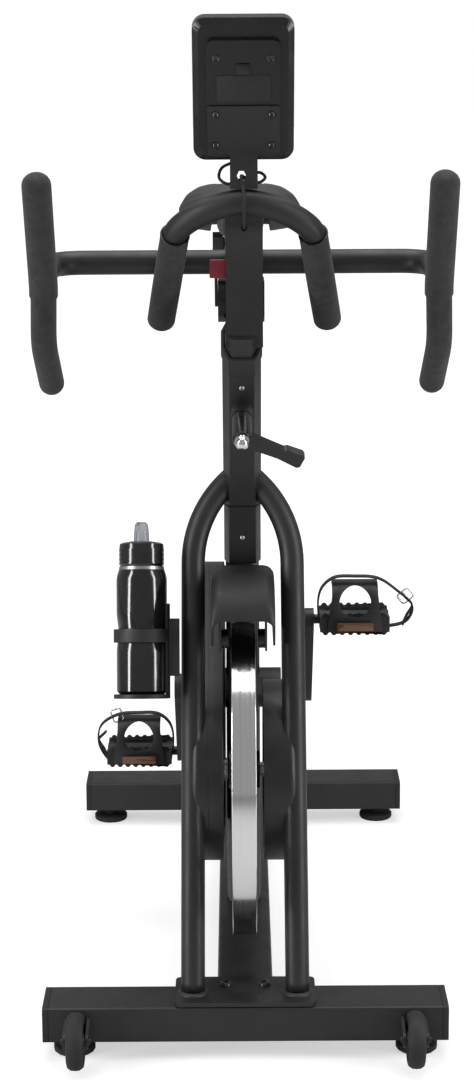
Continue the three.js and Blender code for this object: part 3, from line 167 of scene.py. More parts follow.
CAMERA = {
    "place": (-0.00537, -3.44382, 1.34550),
    "pitch": math.radians(12.125),
    "yaw": math.radians(-0.0505),
    "roll": math.radians(-0.3555),
    "lens": 79.6,
}


def add_camera():
    pitch, yaw, roll = CAMERA["pitch"], CAMERA["yaw"], CAMERA["roll"]
    ahead = Vector((math.sin(yaw) * math.cos(pitch), math.cos(yaw) * math.cos(pitch), -math.sin(pitch)))
    level = Vector((math.cos(yaw), -math.sin(yaw), 0))
    above = level.cross(ahead)
    right = level * math.cos(roll) + above * math.sin(roll)
    up = above * math.cos(roll) - level * math.sin(roll)
    camera = bpy.data.objects.new("camera", bpy.data.cameras.new("camera"))
    camera.data.lens = CAMERA["lens"]
    camera.data.clip_end = 100
    axes = Matrix((right, up, -ahead)).transposed()
    camera.matrix_world = Matrix.Translation(CAMERA["place"]) @ axes.to_4x4()
    bpy.context.scene.collection.objects.link(camera)
    bpy.context.scene.camera = camera


def add_area_light(name, place, target, size, power):
    light = bpy.data.lights.new(name, "AREA")
    light.shape = "RECTANGLE"
    light.size, light.size_y = size
    light.energy = power
    lamp = bpy.data.objects.new(name, light)
    lamp.location = place
    lamp.rotation_euler = (Vector(target) - Vector(place)).to_track_quat("-Z", "Y").to_euler()
    bpy.context.scene.collection.objects.link(lamp)


def add_stage():
    scene = bpy.context.scene
    scene.view_settings.view_transform = "Standard"
    world = bpy.data.worlds.new("studio")
    scene.world = world
    world.use_nodes = True
    backdrop = world.node_tree.nodes["Background"]
    backdrop.inputs["Color"].default_value = (1, 1, 1, 1)
    world.node_tree.links.new(seen_or_not(world.node_tree, AMBIENT, 1.0), backdrop.inputs["Strength"])
    floor = add_mesh("floor", *sheet_of_floor(), floor_paint())
    add_area_light("sky_light", (0, 0.2, 3.6), (0, 0, 0.4), (3.2, 3.2), 85)
    add_area_light("left_strip", (-2.1, -1.5, 1.3), (0, 0, 0.7), (0.4, 2.4), 44)
    add_area_light("right_strip", (2.1, -1.3, 1.3), (0, 0, 0.7), (0.4, 2.4), 36)


def seen_or_not(tree, unseen, seen):
    """One value where the camera looks straight at a surface, and another for the light it gives."""
    looked_at = node(tree, "ShaderNodeLightPath").outputs["Is Camera Ray"]
    return ranged(tree, looked_at, (0.0, 1.0), (unseen, seen))


def floor_paint():
    """A pale floor that fades to white away from the bike."""
    paint = bpy.data.materials.new("studio_white")
    paint.use_nodes = True
    tree = paint.node_tree
    shader = tree.nodes["Principled BSDF"]
    shader.inputs["Base Color"].default_value = (0.6, 0.6, 0.6, 1)
    shader.inputs["Roughness"].default_value = 0.9
    shader.inputs["Emission Color"].default_value = (1, 1, 1, 1)
    place = node(tree, "ShaderNodeTexCoord").outputs["Object"]
    away = node(tree, "ShaderNodeVectorMath", {0: place}, operation="LENGTH").outputs["Value"]
    glow = ranged(tree, away, (0.9, 3.5), (0.55, 0.9))
    shown = node(tree, "ShaderNodeMath", {0: glow, 1: seen_or_not(tree, 0.0, 1.0)}, operation="MULTIPLY")
    tree.links.new(shown.outputs["Value"], shader.inputs["Emission Strength"])
    return paint


def sheet_of_floor():
    half = 30
    return [(-half, -half, 0), (half, -half, 0), (half, half, 0), (-half, half, 0)], [(0, 1, 2, 3)]


# ------------------------------------------------------------------ materials

CLOUD = 9.0  # scale of the cloudy colour on a grained surface


def node(tree, kind, inputs=None, **settings):
    made = tree.nodes.new(kind)
    for key, value in settings.items():
        setattr(made, key, value)
    for key, value in (inputs or {}).items():
        if isinstance(value, bpy.types.NodeSocket):
            tree.links.new(value, made.inputs[key])
        else:
            made.inputs[key].default_value = value
    return made


def new_material(name, metallic=0.0, coat=0.0):
    """A Principled material, its tree, its shader and the object coordinates its patterns use."""
    paint = bpy.data.materials.new(name)
    paint.use_nodes = True
    tree = paint.node_tree
    shader = tree.nodes["Principled BSDF"]
    shader.inputs["Metallic"].default_value = metallic
    shader.inputs["Coat Weight"].default_value = coat
    shader.inputs["Coat Roughness"].default_value = 0.08
    place = node(tree, "ShaderNodeTexCoord").outputs["Object"]
    return paint, tree, shader, place


def ranged(tree, value, source, target):
    """A value moved from one range to another."""
    inputs = {"Value": value}
    inputs.update(zip(("From Min", "From Max", "To Min", "To Max"), (*source, *target)))
    return node(tree, "ShaderNodeMapRange", inputs).outputs["Result"]


def summed(tree, first, second):
    return node(tree, "ShaderNodeMath", {0: first, 1: second}, operation="ADD").outputs["Value"]


def mottled(tree, place, scale, low, high):
    """A soft cloudy value between low and high."""
    noise = node(tree, "ShaderNodeTexNoise", {"Vector": place, "Scale": scale, "Detail": 4.0})
    return ranged(tree, noise.outputs["Fac"], (0.35, 0.65), (low, high))


def coloured(tree, factor, first, second):
    """A blend of two colours, each given as numbers or as a socket."""
    mix = node(tree, "ShaderNodeMix", data_type="RGBA")
    tree.links.new(factor, mix.inputs["Factor"])
    for key, colour in (("A", first), ("B", second)):
        if isinstance(colour, bpy.types.NodeSocket):
            tree.links.new(colour, mix.inputs[key])
        else:
            mix.inputs[key].default_value = (*colour, 1)
    return mix.outputs["Result"]


def bumped(tree, shader, height, distance, strength=1.0):
    bump = node(tree, "ShaderNodeBump", {"Height": height, "Distance": distance, "Strength": strength})
    tree.links.new(bump.outputs["Normal"], shader.inputs["Normal"])


def grained(name, dark, light, rough, grain, depth):
    """A surface with a fine grain, cloudy colour and gloss, and slightly paler edges where it wears."""
    paint, tree, shader, place = new_material(name)
    base = coloured(tree, mottled(tree, place, CLOUD, 0.0, 1.0), dark, light)
    edge = node(tree, "ShaderNodeNewGeometry").outputs["Pointiness"]
    worn = ranged(tree, edge, (0.51, 0.62), (0.0, 0.3))
    worn_colour = [1.8 * part for part in light]
    tree.links.new(coloured(tree, worn, base, worn_colour), shader.inputs["Base Color"])
    tree.links.new(mottled(tree, place, CLOUD * 3, *rough), shader.inputs["Roughness"])
    fine = node(tree, "ShaderNodeTexNoise", {"Vector": place, "Scale": grain, "Detail": 3.0})
    bumped(tree, shader, fine.outputs["Fac"], depth)
    return paint


def textured(name, cells, folds, detail, depth, strength, clouds, colours, rough_clouds, rough, sheen):
    """A soft surface of small cells over larger folds."""
    paint, tree, shader, place = new_material(name)
    cell_scale, feature = cells
    pits = node(tree, "ShaderNodeTexVoronoi", {"Vector": place, "Scale": cell_scale}, feature=feature)
    soft = node(tree, "ShaderNodeTexNoise", {"Vector": place, "Scale": folds, "Detail": detail})
    height = summed(tree, pits.outputs["Distance"], soft.outputs["Fac"])
    bumped(tree, shader, height, depth, strength)
    base = coloured(tree, mottled(tree, place, clouds, 0.0, 1.0), *colours)
    tree.links.new(base, shader.inputs["Base Color"])
    tree.links.new(mottled(tree, place, rough_clouds, *rough), shader.inputs["Roughness"])
    shader.inputs["Sheen Weight"].default_value = sheen
    return paint


def leather(name):
    return textured(
        name, cells=(620.0, "DISTANCE_TO_EDGE"), folds=60.0, detail=6.0, depth=0.0005, strength=0.7,
        clouds=14.0, colours=((0.0110, 0.0105, 0.0100), (0.0170, 0.0160, 0.0150)),
        rough_clouds=40.0, rough=(0.48, 0.66), sheen=0.05,
    )


def foam(name):
    return textured(
        name, cells=(900.0, "F1"), folds=120.0, detail=5.0, depth=0.0004, strength=0.8,
        clouds=30.0, colours=((0.0155, 0.0148, 0.0142), (0.0225, 0.0212, 0.0205)),
        rough_clouds=90.0, rough=(0.78, 0.95), sheen=0.12,
    )


def turned_metal(name, colour, rough, lines):
    """Metal with fine machining lines round the X axis and long faint streaks."""
    paint, tree, shader, place = new_material(name, metallic=1.0)
    stretched = node(tree, "ShaderNodeMapping", {"Vector": place, "Scale": (lines, 3.0, 3.0)})
    pattern = {"Vector": stretched.outputs["Vector"], "Scale": 1.0, "Detail": 5.0}
    noise = node(tree, "ShaderNodeTexNoise", pattern)
    streak = noise.outputs["Fac"]
    tree.links.new(ranged(tree, streak, (0.3, 0.7), rough), shader.inputs["Roughness"])
    darker = [0.72 * part for part in colour]
    tree.links.new(coloured(tree, streak, darker, colour), shader.inputs["Base Color"])
    bumped(tree, shader, streak, 0.00006)
    return paint


def reflector(name):
    paint, tree, shader, place = new_material(name, coat=1.0)
    prisms = node(tree, "ShaderNodeTexChecker", {"Vector": place, "Scale": 420.0})
    base = coloured(tree, prisms.outputs["Fac"], (0.085, 0.030, 0.003), (0.17, 0.060, 0.006))
    tree.links.new(base, shader.inputs["Base Color"])
    bumped(tree, shader, prisms.outputs["Fac"], 0.0003)
    shader.inputs["Roughness"].default_value = 0.22
    return paint


def clear_plastic(name):
    paint, tree, shader, place = new_material(name)
    shader.inputs["Base Color"].default_value = (0.55, 0.58, 0.62, 1)
    shader.inputs["Transmission Weight"].default_value = 0.75
    tree.links.new(mottled(tree, place, 90.0, 0.05, 0.18), shader.inputs["Roughness"])
    return paint


def gloss_paint(name, dark, light, rough):
    paint, tree, shader, place = new_material(name, coat=0.6)
    base = coloured(tree, mottled(tree, place, 20.0, 0.0, 1.0), dark, light)
    tree.links.new(base, shader.inputs["Base Color"])
    tree.links.new(mottled(tree, place, 35.0, rough[0], rough[1]), shader.inputs["Roughness"])
    ripple = node(tree, "ShaderNodeTexNoise", {"Vector": place, "Scale": 260.0})
    bumped(tree, shader, ripple.outputs["Fac"], 0.00003)
    return paint


def webbing(name):
    paint, tree, shader, place = new_material(name)
    threads = {"Vector": place, "Scale": 190.0, "Distortion": 0.6}
    weave = node(tree, "ShaderNodeTexWave", threads, bands_direction="DIAGONAL")
    bumped(tree, shader, weave.outputs["Fac"], 0.0003)
    base = coloured(tree, weave.outputs["Fac"], (0.007, 0.007, 0.007), (0.020, 0.020, 0.020))
    tree.links.new(base, shader.inputs["Base Color"])
    tree.links.new(mottled(tree, place, 60.0, 0.55, 0.75), shader.inputs["Roughness"])
    return paint


# Each grained finish: its name, its darker and lighter colour, roughness range, grain scale and grain depth.
GRAINS = {
    "powder": ("powder_coat", (0.0095, 0.009, 0.009), (0.0135, 0.0128, 0.0126), (0.4, 0.52), 1.5e3, 1.2e-4),
    "plastic": ("moulded_plastic", (0.007, 0.0068, 0.0068), (0.0105, 0.01, 0.0098), (0.46, 0.6), 1.1e3, 1.6e-4),
    "cover": ("cover_plastic", (0.006, 0.0058, 0.0058), (0.009, 0.0086, 0.0084), (0.34, 0.46), 900.0, 1.0e-4),
    "smooth": ("smooth_plastic", (0.0045, 0.0045, 0.0046), (0.007, 0.0069, 0.0068), (0.24, 0.34), 700.0, 5e-5),
    "rubber": ("rubber", (0.007, 0.007, 0.007), (0.012, 0.012, 0.012), (0.62, 0.80), 600.0, 1.8e-4),
    "red": ("red_plastic", (0.24, 0.020, 0.032), (0.30, 0.028, 0.042), (0.38, 0.50), 900.0, 8e-5),
}


def make_materials():
    return {
        **{key: grained(*values) for key, values in GRAINS.items()},
        "webbing": webbing("strap_webbing"),
        "foam": foam("foam_sleeve"),
        "leather": leather("saddle_leather"),
        "chrome": turned_metal("chrome_rim", (0.92, 0.92, 0.92), (0.06, 0.20), 900.0),
        "steel": turned_metal("machined_steel", (0.50, 0.50, 0.51), (0.28, 0.42), 500.0),
        "aluminium": turned_metal("cast_aluminium", (0.55, 0.55, 0.56), (0.36, 0.50), 300.0),
        "gloss": gloss_paint("gloss_lacquer", (0.003, 0.003, 0.003), (0.006, 0.006, 0.006), (0.10, 0.18)),
        "screen": gloss_paint("screen_glass", (0.006, 0.007, 0.008), (0.010, 0.011, 0.012), (0.05, 0.09)),
        "reflector": reflector("amber_reflector"),
        "clear": clear_plastic("clear_spout"),
    }


# ------------------------------------------------------------------ mesh helpers


def add_mesh(name, vertices, faces, paint, smooth=True):
    mesh = bpy.data.meshes.new(name)
    mesh.from_pydata([tuple(v) for v in vertices], [], faces)
    mesh.update()
    piece = bpy.data.objects.new(name, mesh)
    bpy.context.scene.collection.objects.link(piece)
    mesh.materials.append(paint)
    mesh.polygons.foreach_set("use_smooth", [smooth] * len(mesh.polygons))
    return piece


def finish_piece(piece, body, slot, *nodes):
    """Gives a piece its body, and hides the CAD nodes it stands for. The slot argument is not used."""
    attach(piece, body)
    if nodes:
        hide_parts(*nodes)
    return piece


def soften_edges(piece, width, angle=38):
    """Rounds a piece's sharp edges by modifiers, and keeps its flats flat."""
    if width:
        bevel = piece.modifiers.new("bevel", "BEVEL")
        bevel.width = width
        bevel.segments = 2
        bevel.limit_method = "ANGLE"
        bevel.angle_limit = math.radians(angle)
    split = piece.modifiers.new("split", "EDGE_SPLIT")
    split.split_angle = math.radians(angle)
    return piece


def bridge(rings, closed_path=False):
    """Faces between rings that all have the same number of points, with the ends filled."""
    count = len(rings[0])
    vertices = [p for ring in rings for p in ring]
    faces = []
    last = len(rings) if closed_path else len(rings) - 1
    for i in range(last):
        low, high = i * count, ((i + 1) % len(rings)) * count
        for k in range(count):
            after = (k + 1) % count
            faces.append((low + k, low + after, high + after, high + k))
    if not closed_path:
        faces.append(tuple(range(count))[::-1])
        faces.append(tuple((len(rings) - 1) * count + k for k in range(count)))
    return vertices, faces


def face_outward(piece, merge=0.0):
    """Turns all of a closed piece's faces outward, once points nearer than merge are joined."""
    shape = bmesh.new()
    shape.from_mesh(piece.data)
    if merge:
        bmesh.ops.remove_doubles(shape, verts=shape.verts, dist=merge)
    bmesh.ops.recalc_face_normals(shape, faces=shape.faces)
    shape.to_mesh(piece.data)
    shape.free()
    return piece


def directions(points, closed=False):
    """The unit direction of a line at each of its points."""
    first, last = (points[-1], points[0]) if closed else (points[0], points[-1])
    neighbours = zip([first, *points[:-1]], [*points[1:], last])
    return [(after - before).normalized() for before, after in neighbours]


def path_frames(points):
    """A pair of cross axes at each point of a line, turned as little as possible along it."""
    points = [Vector(p) for p in points]
    along = directions(points)
    start = Vector((0, 0, 1)) if abs(along[0].z) < 0.9 else Vector((0, 1, 0))
    side = along[0].cross(start).normalized()
    frames = []
    for direction in along:
        side = (side - direction * side.dot(direction)).normalized()
        frames.append((side, direction.cross(side)))
    return points, along, frames


def domed_end(station, inward, dome, steps=5):
    """Stations that round off one end of a tube, from its tip to the end of the dome."""
    place, size, axes = station
    made = [(place + inward * dome, size, axes)]
    for k in range(1, steps + 1):
        turn = DOME_TURN * k / steps
        made.append((place + inward * dome * (1 - math.sin(turn)), size - dome * (1 - math.cos(turn)), axes))
    return made[::-1]


def tube(name, points, radius, paint, dome=0.0, sides=ROUND):
    """A round tube along a line. radius is a number or one for each point; dome rounds both its ends."""
    points, along, frames = path_frames(points)
    radii = radius if isinstance(radius, list) else [radius] * len(points)
    stations = list(zip(points, radii, frames))
    if dome:
        ends = (points[0], points[-1])
        middle = [s for s in stations[1:-1] if min((s[0] - end).length for end in ends) > dome]
        first = domed_end(stations[0], along[0], dome)
        last = domed_end(stations[-1], -along[-1], dome)
        stations = [*first, *middle, *last[::-1]]
    rings = []
    for place, size, (side, up) in stations:
        ring = []
        for k in range(sides):
            turn = 2 * math.pi * k / sides
            ring.append(place + side * (size * math.cos(turn)) + up * (size * math.sin(turn)))
        rings.append(ring)
    return add_mesh(name, *bridge(rings), paint)


def bent_line(corners, radii, step=math.radians(5)):
    """The points of a line of straight runs joined by round bends."""
    corners = [Vector(c) for c in corners]
    line = [corners[0]]
    for before, corner, after, radius in zip(corners, corners[1:], corners[2:], radii):
        into = (corner - before).normalized()
        out = (after - corner).normalized()
        turn = into.angle(out)
        start = corner - into * (radius * math.tan(turn / 2))
        inward = (out - into * math.cos(turn)).normalized()
        steps = max(2, math.ceil(turn / step))
        for k in range(steps + 1):
            angle = turn * k / steps
            ahead, aside = radius * math.sin(angle), radius * (1 - math.cos(angle))
            line.append(start + into * ahead + inward * aside)
    return [*line, corners[-1]]


def finely(line, step=0.004):
    """The same line with points no further apart than step."""
    made = [Vector(line[0])]
    for a, b in zip(line, line[1:]):
        a, b = Vector(a), Vector(b)
        count = max(1, math.ceil((b - a).length / step))
        made.extend(a.lerp(b, (k + 1) / count) for k in range(count))
    return made


def through(knots, steps=8, size=3):
    """A centripetal Catmull-Rom curve through knots that have size coordinates."""
    knots = [Vector(k[:size]) for k in knots]
    padded = [2 * knots[0] - knots[1], *knots, 2 * knots[-1] - knots[-2]]
    line = []
    for i in range(1, len(padded) - 2):
        a, b, c, d = padded[i - 1 : i + 3]
        ta = 0.0
        tb = ta + math.sqrt((b - a).length)
        tc = tb + math.sqrt((c - b).length)
        td = tc + math.sqrt((d - c).length)
        for k in range(steps):
            t = tb + (tc - tb) * k / steps
            ab = a.lerp(b, (t - ta) / (tb - ta))
            bc = b.lerp(c, (t - tb) / (tc - tb))
            cd = c.lerp(d, (t - tc) / (td - tc))
            abc = ab.lerp(bc, (t - ta) / (tc - ta))
            bcd = bc.lerp(cd, (t - tb) / (td - tb))
            line.append(abc.lerp(bcd, (t - tb) / (tc - tb)))
    return [*line, knots[-1]]


def lathe(name, profile, paint, place, sides=ROUND):
    """A closed turned piece. profile is (along, radius) pairs, and place carries the Z axis to its own."""
    rings = []
    for k in range(sides):
        turn = 2 * math.pi * k / sides
        rings.append([place @ Vector((r * math.cos(turn), r * math.sin(turn), a)) for a, r in profile])
    piece = face_outward(add_mesh(name, *bridge(rings, closed_path=True), paint), MERGE)
    return soften_edges(piece, 0, CREASE)


def rounded(profile, radius, steps=3):
    """A profile with its corners rounded off."""
    made = []
    for i, corner in enumerate(profile):
        before, after = Vector(profile[i - 1]), Vector(profile[(i + 1) % len(profile)])
        corner = Vector(corner)
        near = min(radius, 0.45 * (before - corner).length, 0.45 * (after - corner).length)
        a = corner + (before - corner).normalized() * near
        b = corner + (after - corner).normalized() * near
        for k in range(steps + 1):
            t = k / steps
            made.append(tuple(a.lerp(corner, t).lerp(corner.lerp(b, t), t)))
    return made


QUARTER_X = Matrix.Rotation(math.pi / 2, 4, "X")  # turns +Z to -Y


def along_x(place):
    """A frame at place whose Z axis points along +X."""
    return Matrix.Translation(place) @ Matrix.Rotation(math.pi / 2, 4, "Y")


def slab(name, outline, depth, paint, place, bevel=0.0008):
    """A flat piece: an outline in the place's XY plane given a depth along its Z, with rounded edges."""
    low = [place @ Vector((x, y, 0)) for x, y in outline]
    high = [place @ Vector((x, y, depth)) for x, y in outline]
    return soften_edges(face_outward(add_mesh(name, *bridge([low, high]), paint)), bevel)


def soft_rectangle(width, height, corner, steps=5):
    x, y = width / 2, height / 2
    return rounded([(-x, -y), (x, -y), (x, y), (-x, y)], corner, steps)


def plate_of(name, size, paint, place, bevel=0.0008):
    """A flat rounded rectangle. size holds its width, height, corner and depth."""
    outline = soft_rectangle(size["width"], size["height"], size["corner"])
    return slab(name, outline, size["depth"], paint, place, bevel)


def screw(name, place, radius, paint, body, slot, height=0.6):
    """A pan-head screw with a round socket, on the frame's Z axis."""
    tall = radius * height
    profile = [
        (0, radius), (tall * 0.35, radius * 0.97), (tall * 0.75, radius * 0.78), (tall, radius * 0.5),
        (tall, radius * 0.34), (tall * 0.35, radius * 0.30), (tall * 0.35, 0.0), (0, 0.0),
    ]
    return finish_piece(lathe(name, profile, paint, place, 24), body, slot)


# ------------------------------------------------------------------ CAD nodes that stay

NODE_FINISH = {
    "powder": [
        "front_stabiliser", "rear_stabiliser", "lower_beam", "head_tube", "backbone_tube", "seat_tube",
        "handlebar_post", "console_bracket", "crank_arm_left", "crank_arm_right",
    ],
    "plastic": [
        "head_collar", "brake_shield", "resistance_housing", "resistance_lever", "front_cap_left",
        "front_cap_right", "rear_cap_left", "rear_cap_right", "pedal_left", "pedal_right", "bottle_cage",
        "seat_height_knob", "saddle_slide_knob",
    ],
    "smooth": ["neck_cover", "height_lever", "console_back", "magnet_bracket"],
    "rubber": [
        "front_foot_left", "front_foot_right", "rear_foot_left", "rear_foot_right",
        "transport_wheel_left", "transport_wheel_right", "drive_belt",
    ],
    "steel": [
        "flywheel_axle", "flywheel_pulley", "crank_axle", "seat_post", "saddle_slider", "saddle_rails",
    ],
    "aluminium": ["drive_pulley"],
    "screen": ["console_front"],
}
# The width of the rounding on the nodes' edges.
BEVELS = {
    0.0006: [
        "front_stabiliser", "rear_stabiliser", "console_bracket", "resistance_lever", "bottle_cage",
        "magnet_bracket", "saddle_slider",
    ],
    0.0008: ["pedal_left", "pedal_right", "seat_tube"],
    0.0010: ["lower_beam", "console_back", "console_front", "backbone_tube"],
    0.0012: ["head_collar", "brake_shield"],
    0.0014: ["height_lever"],
    0.0015: [
        "crank_arm_left", "crank_arm_right", "front_cap_left", "front_cap_right", "rear_cap_left",
        "rear_cap_right", "seat_height_knob", "saddle_slide_knob",
    ],
    0.0016: ["handlebar_post"],
    0.0018: ["neck_cover"],
    0.0020: ["head_tube", "resistance_housing"],
}


def dress_cad_nodes(paints):
    bevels = {name: width for width, names in BEVELS.items() for name in names}
    for finish, names in NODE_FINISH.items():
        for name in names:
            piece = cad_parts[name]
            piece.data.materials.clear()
            piece.data.materials.append(paints[finish])
            smooth_node(piece, bevels.get(name, 0.0))


def smooth_node(piece, width):
    """Smooth shading on a CAD node by modifiers, which leave its own mesh as it is."""
    if piece.data.has_custom_normals:
        with bpy.context.temp_override(object=piece, active_object=piece, selected_objects=[piece]):
            bpy.ops.mesh.customdata_custom_splitnormals_clear()
    piece.data.polygons.foreach_set("use_smooth", [True] * len(piece.data.polygons))
    weld = piece.modifiers.new("weld", "WELD")
    weld.merge_threshold = 1e-5
    soften_edges(piece, width)
    if width:
        normals = piece.modifiers.new("flats", "WEIGHTED_NORMAL")
        normals.keep_sharp = True


# ------------------------------------------------------------------ handlebar


def add_cable(paints):
    route = through([(x * MM, FACE + y * MM, z * MM) for x, y, z in CABLE_ROUTE])
    cable = tube("console_cord", route, CABLE["diameter"] / 2, paints["rubber"], sides=FINE_ROUND)
    finish_piece(cable, "handlebar", "foot_rubber", "console_cable")


def add_main_bar(paints):
    left_end, left_corner = Vector(CROSSBAR["end"]), Vector(CROSSBAR["corner"])
    mirror = Matrix.Scale(-1, 4, (1, 0, 0))
    corners = [mirror @ left_end, mirror @ left_corner, left_corner, left_end]
    line = bent_line(corners, [CROSSBAR["bend"]] * 2)
    crossbar = tube("crossbar", finely(line), CROSSBAR["radius"], paints["powder"])
    finish_piece(crossbar, "handlebar", "frame_powder", "main_bar")
    for side, sign in SIDES.items():
        flip = Matrix.Scale(sign, 4, (1, 0, 0))
        line = finely(bent_line([flip @ Vector(c) for c in HORN["corners"]], HORN["bends"]))
        step = next(i for i, p in enumerate(line) if p.z < HORN["step_z"])
        sizes = [HORN["radius"] + HORN["thicker" if i < step else "thinner"] for i in range(len(line))]
        horn = tube(f"horn_{side}", line, sizes, paints["foam"], dome=HORN["dome"])
        finish_piece(horn, "handlebar", "frame_powder")


def upper_bar_line():
    along = (GRIP_TOP - GRIP_END).normalized()
    first = GRIP_TOP + along * UPPER_BAR["grip_pull"]
    second = Vector((UPPER_BAR["top_pull"], UPPER_BAR["y"], UPPER_BAR["z"]))
    crown = Vector((0, UPPER_BAR["y"], UPPER_BAR["z"]))
    half = [GRIP_END]
    steps = 28
    for k in range(steps + 1):
        t = k / steps
        a, b, c = GRIP_TOP.lerp(first, t), first.lerp(second, t), second.lerp(crown, t)
        half.append(a.lerp(b, t).lerp(b.lerp(c, t), t))
    other = [Vector((-p.x, p.y, p.z)) for p in half[-2::-1]]
    return [p + Vector((STEM_X, 0, 0)) for p in half + other]


def add_upper_bar(paints):
    bar = tube("upper_bar", finely(upper_bar_line()), UPPER_BAR["radius"], paints["powder"])
    finish_piece(bar, "handlebar", "frame_powder", "aero_bar")
    thick, length, bore = GRIP["radius"], GRIP["length"], GRIP["bore"]
    closed_end = [(-0.007, 0.0), (-0.007, thick - 0.007), (-0.0055, thick - 0.003), (-0.002, thick - 0.0006)]
    wall = [(length * k / 8, thick + 0.0003 * math.sin(math.pi * k / 8)) for k in range(9)]
    sleeve_profile = [*closed_end, *wall, (length, bore), (-0.0003, bore), (-0.0003, 0.0)]
    # A thin raised ring just past each sleeve's open end, in dark smooth plastic: its dark colour is painted
    # shadow, the contact shade where the thicker sleeve meets the bare bar.
    rim, past = thick + 0.0007, length + 0.0025
    shadow_ring_profile = rounded([(length, bore), (length, rim), (past, rim), (past, bore)], 0.0008)
    for side, sign in SIDES.items():
        end = Vector((STEM_X + sign * GRIP_END.x, GRIP_END.y, GRIP_END.z))
        top = Vector((STEM_X + sign * GRIP_TOP.x, GRIP_TOP.y, GRIP_TOP.z))
        place = Matrix.Translation(end) @ (top - end).to_track_quat("Z", "Y").to_matrix().to_4x4()
        sleeve = lathe(f"grip_sleeve_{side}", sleeve_profile, paints["foam"], place)
        finish_piece(sleeve, "handlebar", "foot_rubber", f"foam_grip_{side}")
        # The ring's dark plastic is a painted contact shadow at the sleeve's end.
        ring = lathe(f"grip_ring_{side}", shadow_ring_profile, paints["smooth"], place)
        finish_piece(ring, "handlebar", "foot_rubber")


def add_stem_details(paints):
    """The red tip of the resistance lever, and the grommet where the cable enters the stem."""
    depth = LEVER_TIP["depth"]
    stand = Matrix.Translation(LEVER_PIVOT + LEVER_TIP_AT) @ QUARTER_X @ Matrix.Translation((0, 0, -depth))
    tip = plate_of("lever_tip", LEVER_TIP, paints["red"], stand, LEVER_TIP["bevel"])
    finish_piece(tip, "resistance_lever_body", "lever_red")
    spot = Matrix.Translation((STEM_X, GROMMET["y"], GROMMET["z"]))
    mouth = spot @ Matrix.Rotation(GROMMET["tilt"], 4, "X")
    bore, outer = GROMMET["bore"], GROMMET["outer"]
    profile = rounded([(-0.002, bore), (-0.002, outer), (0.0018, outer), (0.0018, bore)], 0.0012)
    grommet = lathe("cable_grommet", profile, paints["rubber"], mouth, 32)
    finish_piece(grommet, "handlebar", "foot_rubber")


# ------------------------------------------------------------------ console


def console_place(x, z, back):
    """A frame on the console, back metres behind its seam, whose Z axis points away from the rider."""
    tilt = Matrix.Translation(CONSOLE["centre"]) @ Matrix.Rotation(CONSOLE["tilt"], 4, "X")
    return tilt @ Matrix.Translation((x, -back, z)) @ QUARTER_X


def add_console_screws(paints):
    body, slot = "handlebar", "cover_plastic"
    for row, z in enumerate(BRACKET_SCREW["rows"]):
        for side, sign in SIDES.items():
            place = console_place(sign * BRACKET_SCREW["x"], z, BRACKET_SCREW["back"])
            name = f"bracket_screw_{side}_{row}"
            screw(name, place, BRACKET_SCREW["radius"], paints["gloss"], body, "bare_steel", 0.8)
    for row, (z, x) in enumerate(SHELL_SCREW["rows"]):
        for side, sign in SIDES.items():
            place = console_place(sign * x, z, SHELL_SCREW["back"])
            screw(f"shell_screw_{side}_{row}", place, SHELL_SCREW["radius"], paints["smooth"], body, slot)


def add_console_back(paints):
    """The battery door, its latch and the two screw wells above it."""
    body, slot = "handlebar", "cover_plastic"
    door = plate_of("battery_door", DOOR, paints["plastic"], console_place(0, DOOR["z"], DOOR_BACK))
    finish_piece(door, body, slot)
    latch = plate_of("battery_latch", LATCH, paints["smooth"], console_place(0, LATCH["z"], DOOR_BACK))
    finish_piece(latch, body, slot)
    well = [(0, 0.0052), (0.0012, 0.0048), (0.0012, 0.0034), (0.0002, 0.0030), (0.0002, 0), (0, 0)]
    for side, sign in SIDES.items():
        place = console_place(sign * SCREW_WELL["x"], SCREW_WELL["z"], SCREW_WELL["back"])
        ring = lathe(f"screw_well_{side}", rounded(well, 0.0003, 2), paints["gloss"], place, 24)
        finish_piece(ring, body, slot)


def add_console_front(paints):
    """The screen and three blank keys, on the rider's side."""
    about = Matrix.Rotation(math.pi, 4, "X")
    place = console_place(0, SCREEN["z"], -SCREEN_FRONT) @ about
    screen = plate_of("console_screen", SCREEN, paints["gloss"], place, FINE_BEVEL)
    finish_piece(screen, "handlebar", "gloss_plastic")
    for column in range(3):
        place = console_place((column - 1) * KEY_PITCH, KEY["z"], -SCREEN_FRONT) @ about
        key = plate_of(f"console_key_{column}", KEY, paints["rubber"], place)
        finish_piece(key, "handlebar", "foot_rubber")


# ------------------------------------------------------------------ fork


def fork_point(x, along):
    """A point of the fork's leaning plane, along metres up from the plate."""
    return Vector((x, FRONT_Y + along * math.sin(FORK_LEAN), PLATE_TOP + along * math.cos(FORK_LEAN)))


def fork_line(sign):
    top_x, bend_along, radius = FORK["top_x"], FORK["bend_along"], FORK["bend_radius"]
    past = radius * math.tan(FORK_BEND / 2) + FORK_PAST_BEND
    corners = [
        fork_point(sign * FORK["foot_x"], 0.0005),
        fork_point(sign * top_x, bend_along),
        fork_point(sign * (top_x - past * math.sin(FORK_BEND)), bend_along + past * math.cos(FORK_BEND)),
    ]
    return bent_line(corners, [radius], math.radians(3))


def arc(centre, radius, first, last, steps):
    """Points (y, z) round a centre."""
    turns = [first + (last - first) * k / steps for k in range(steps + 1)]
    return [(centre.y + radius * math.cos(t), centre.z + radius * math.sin(t)) for t in turns]


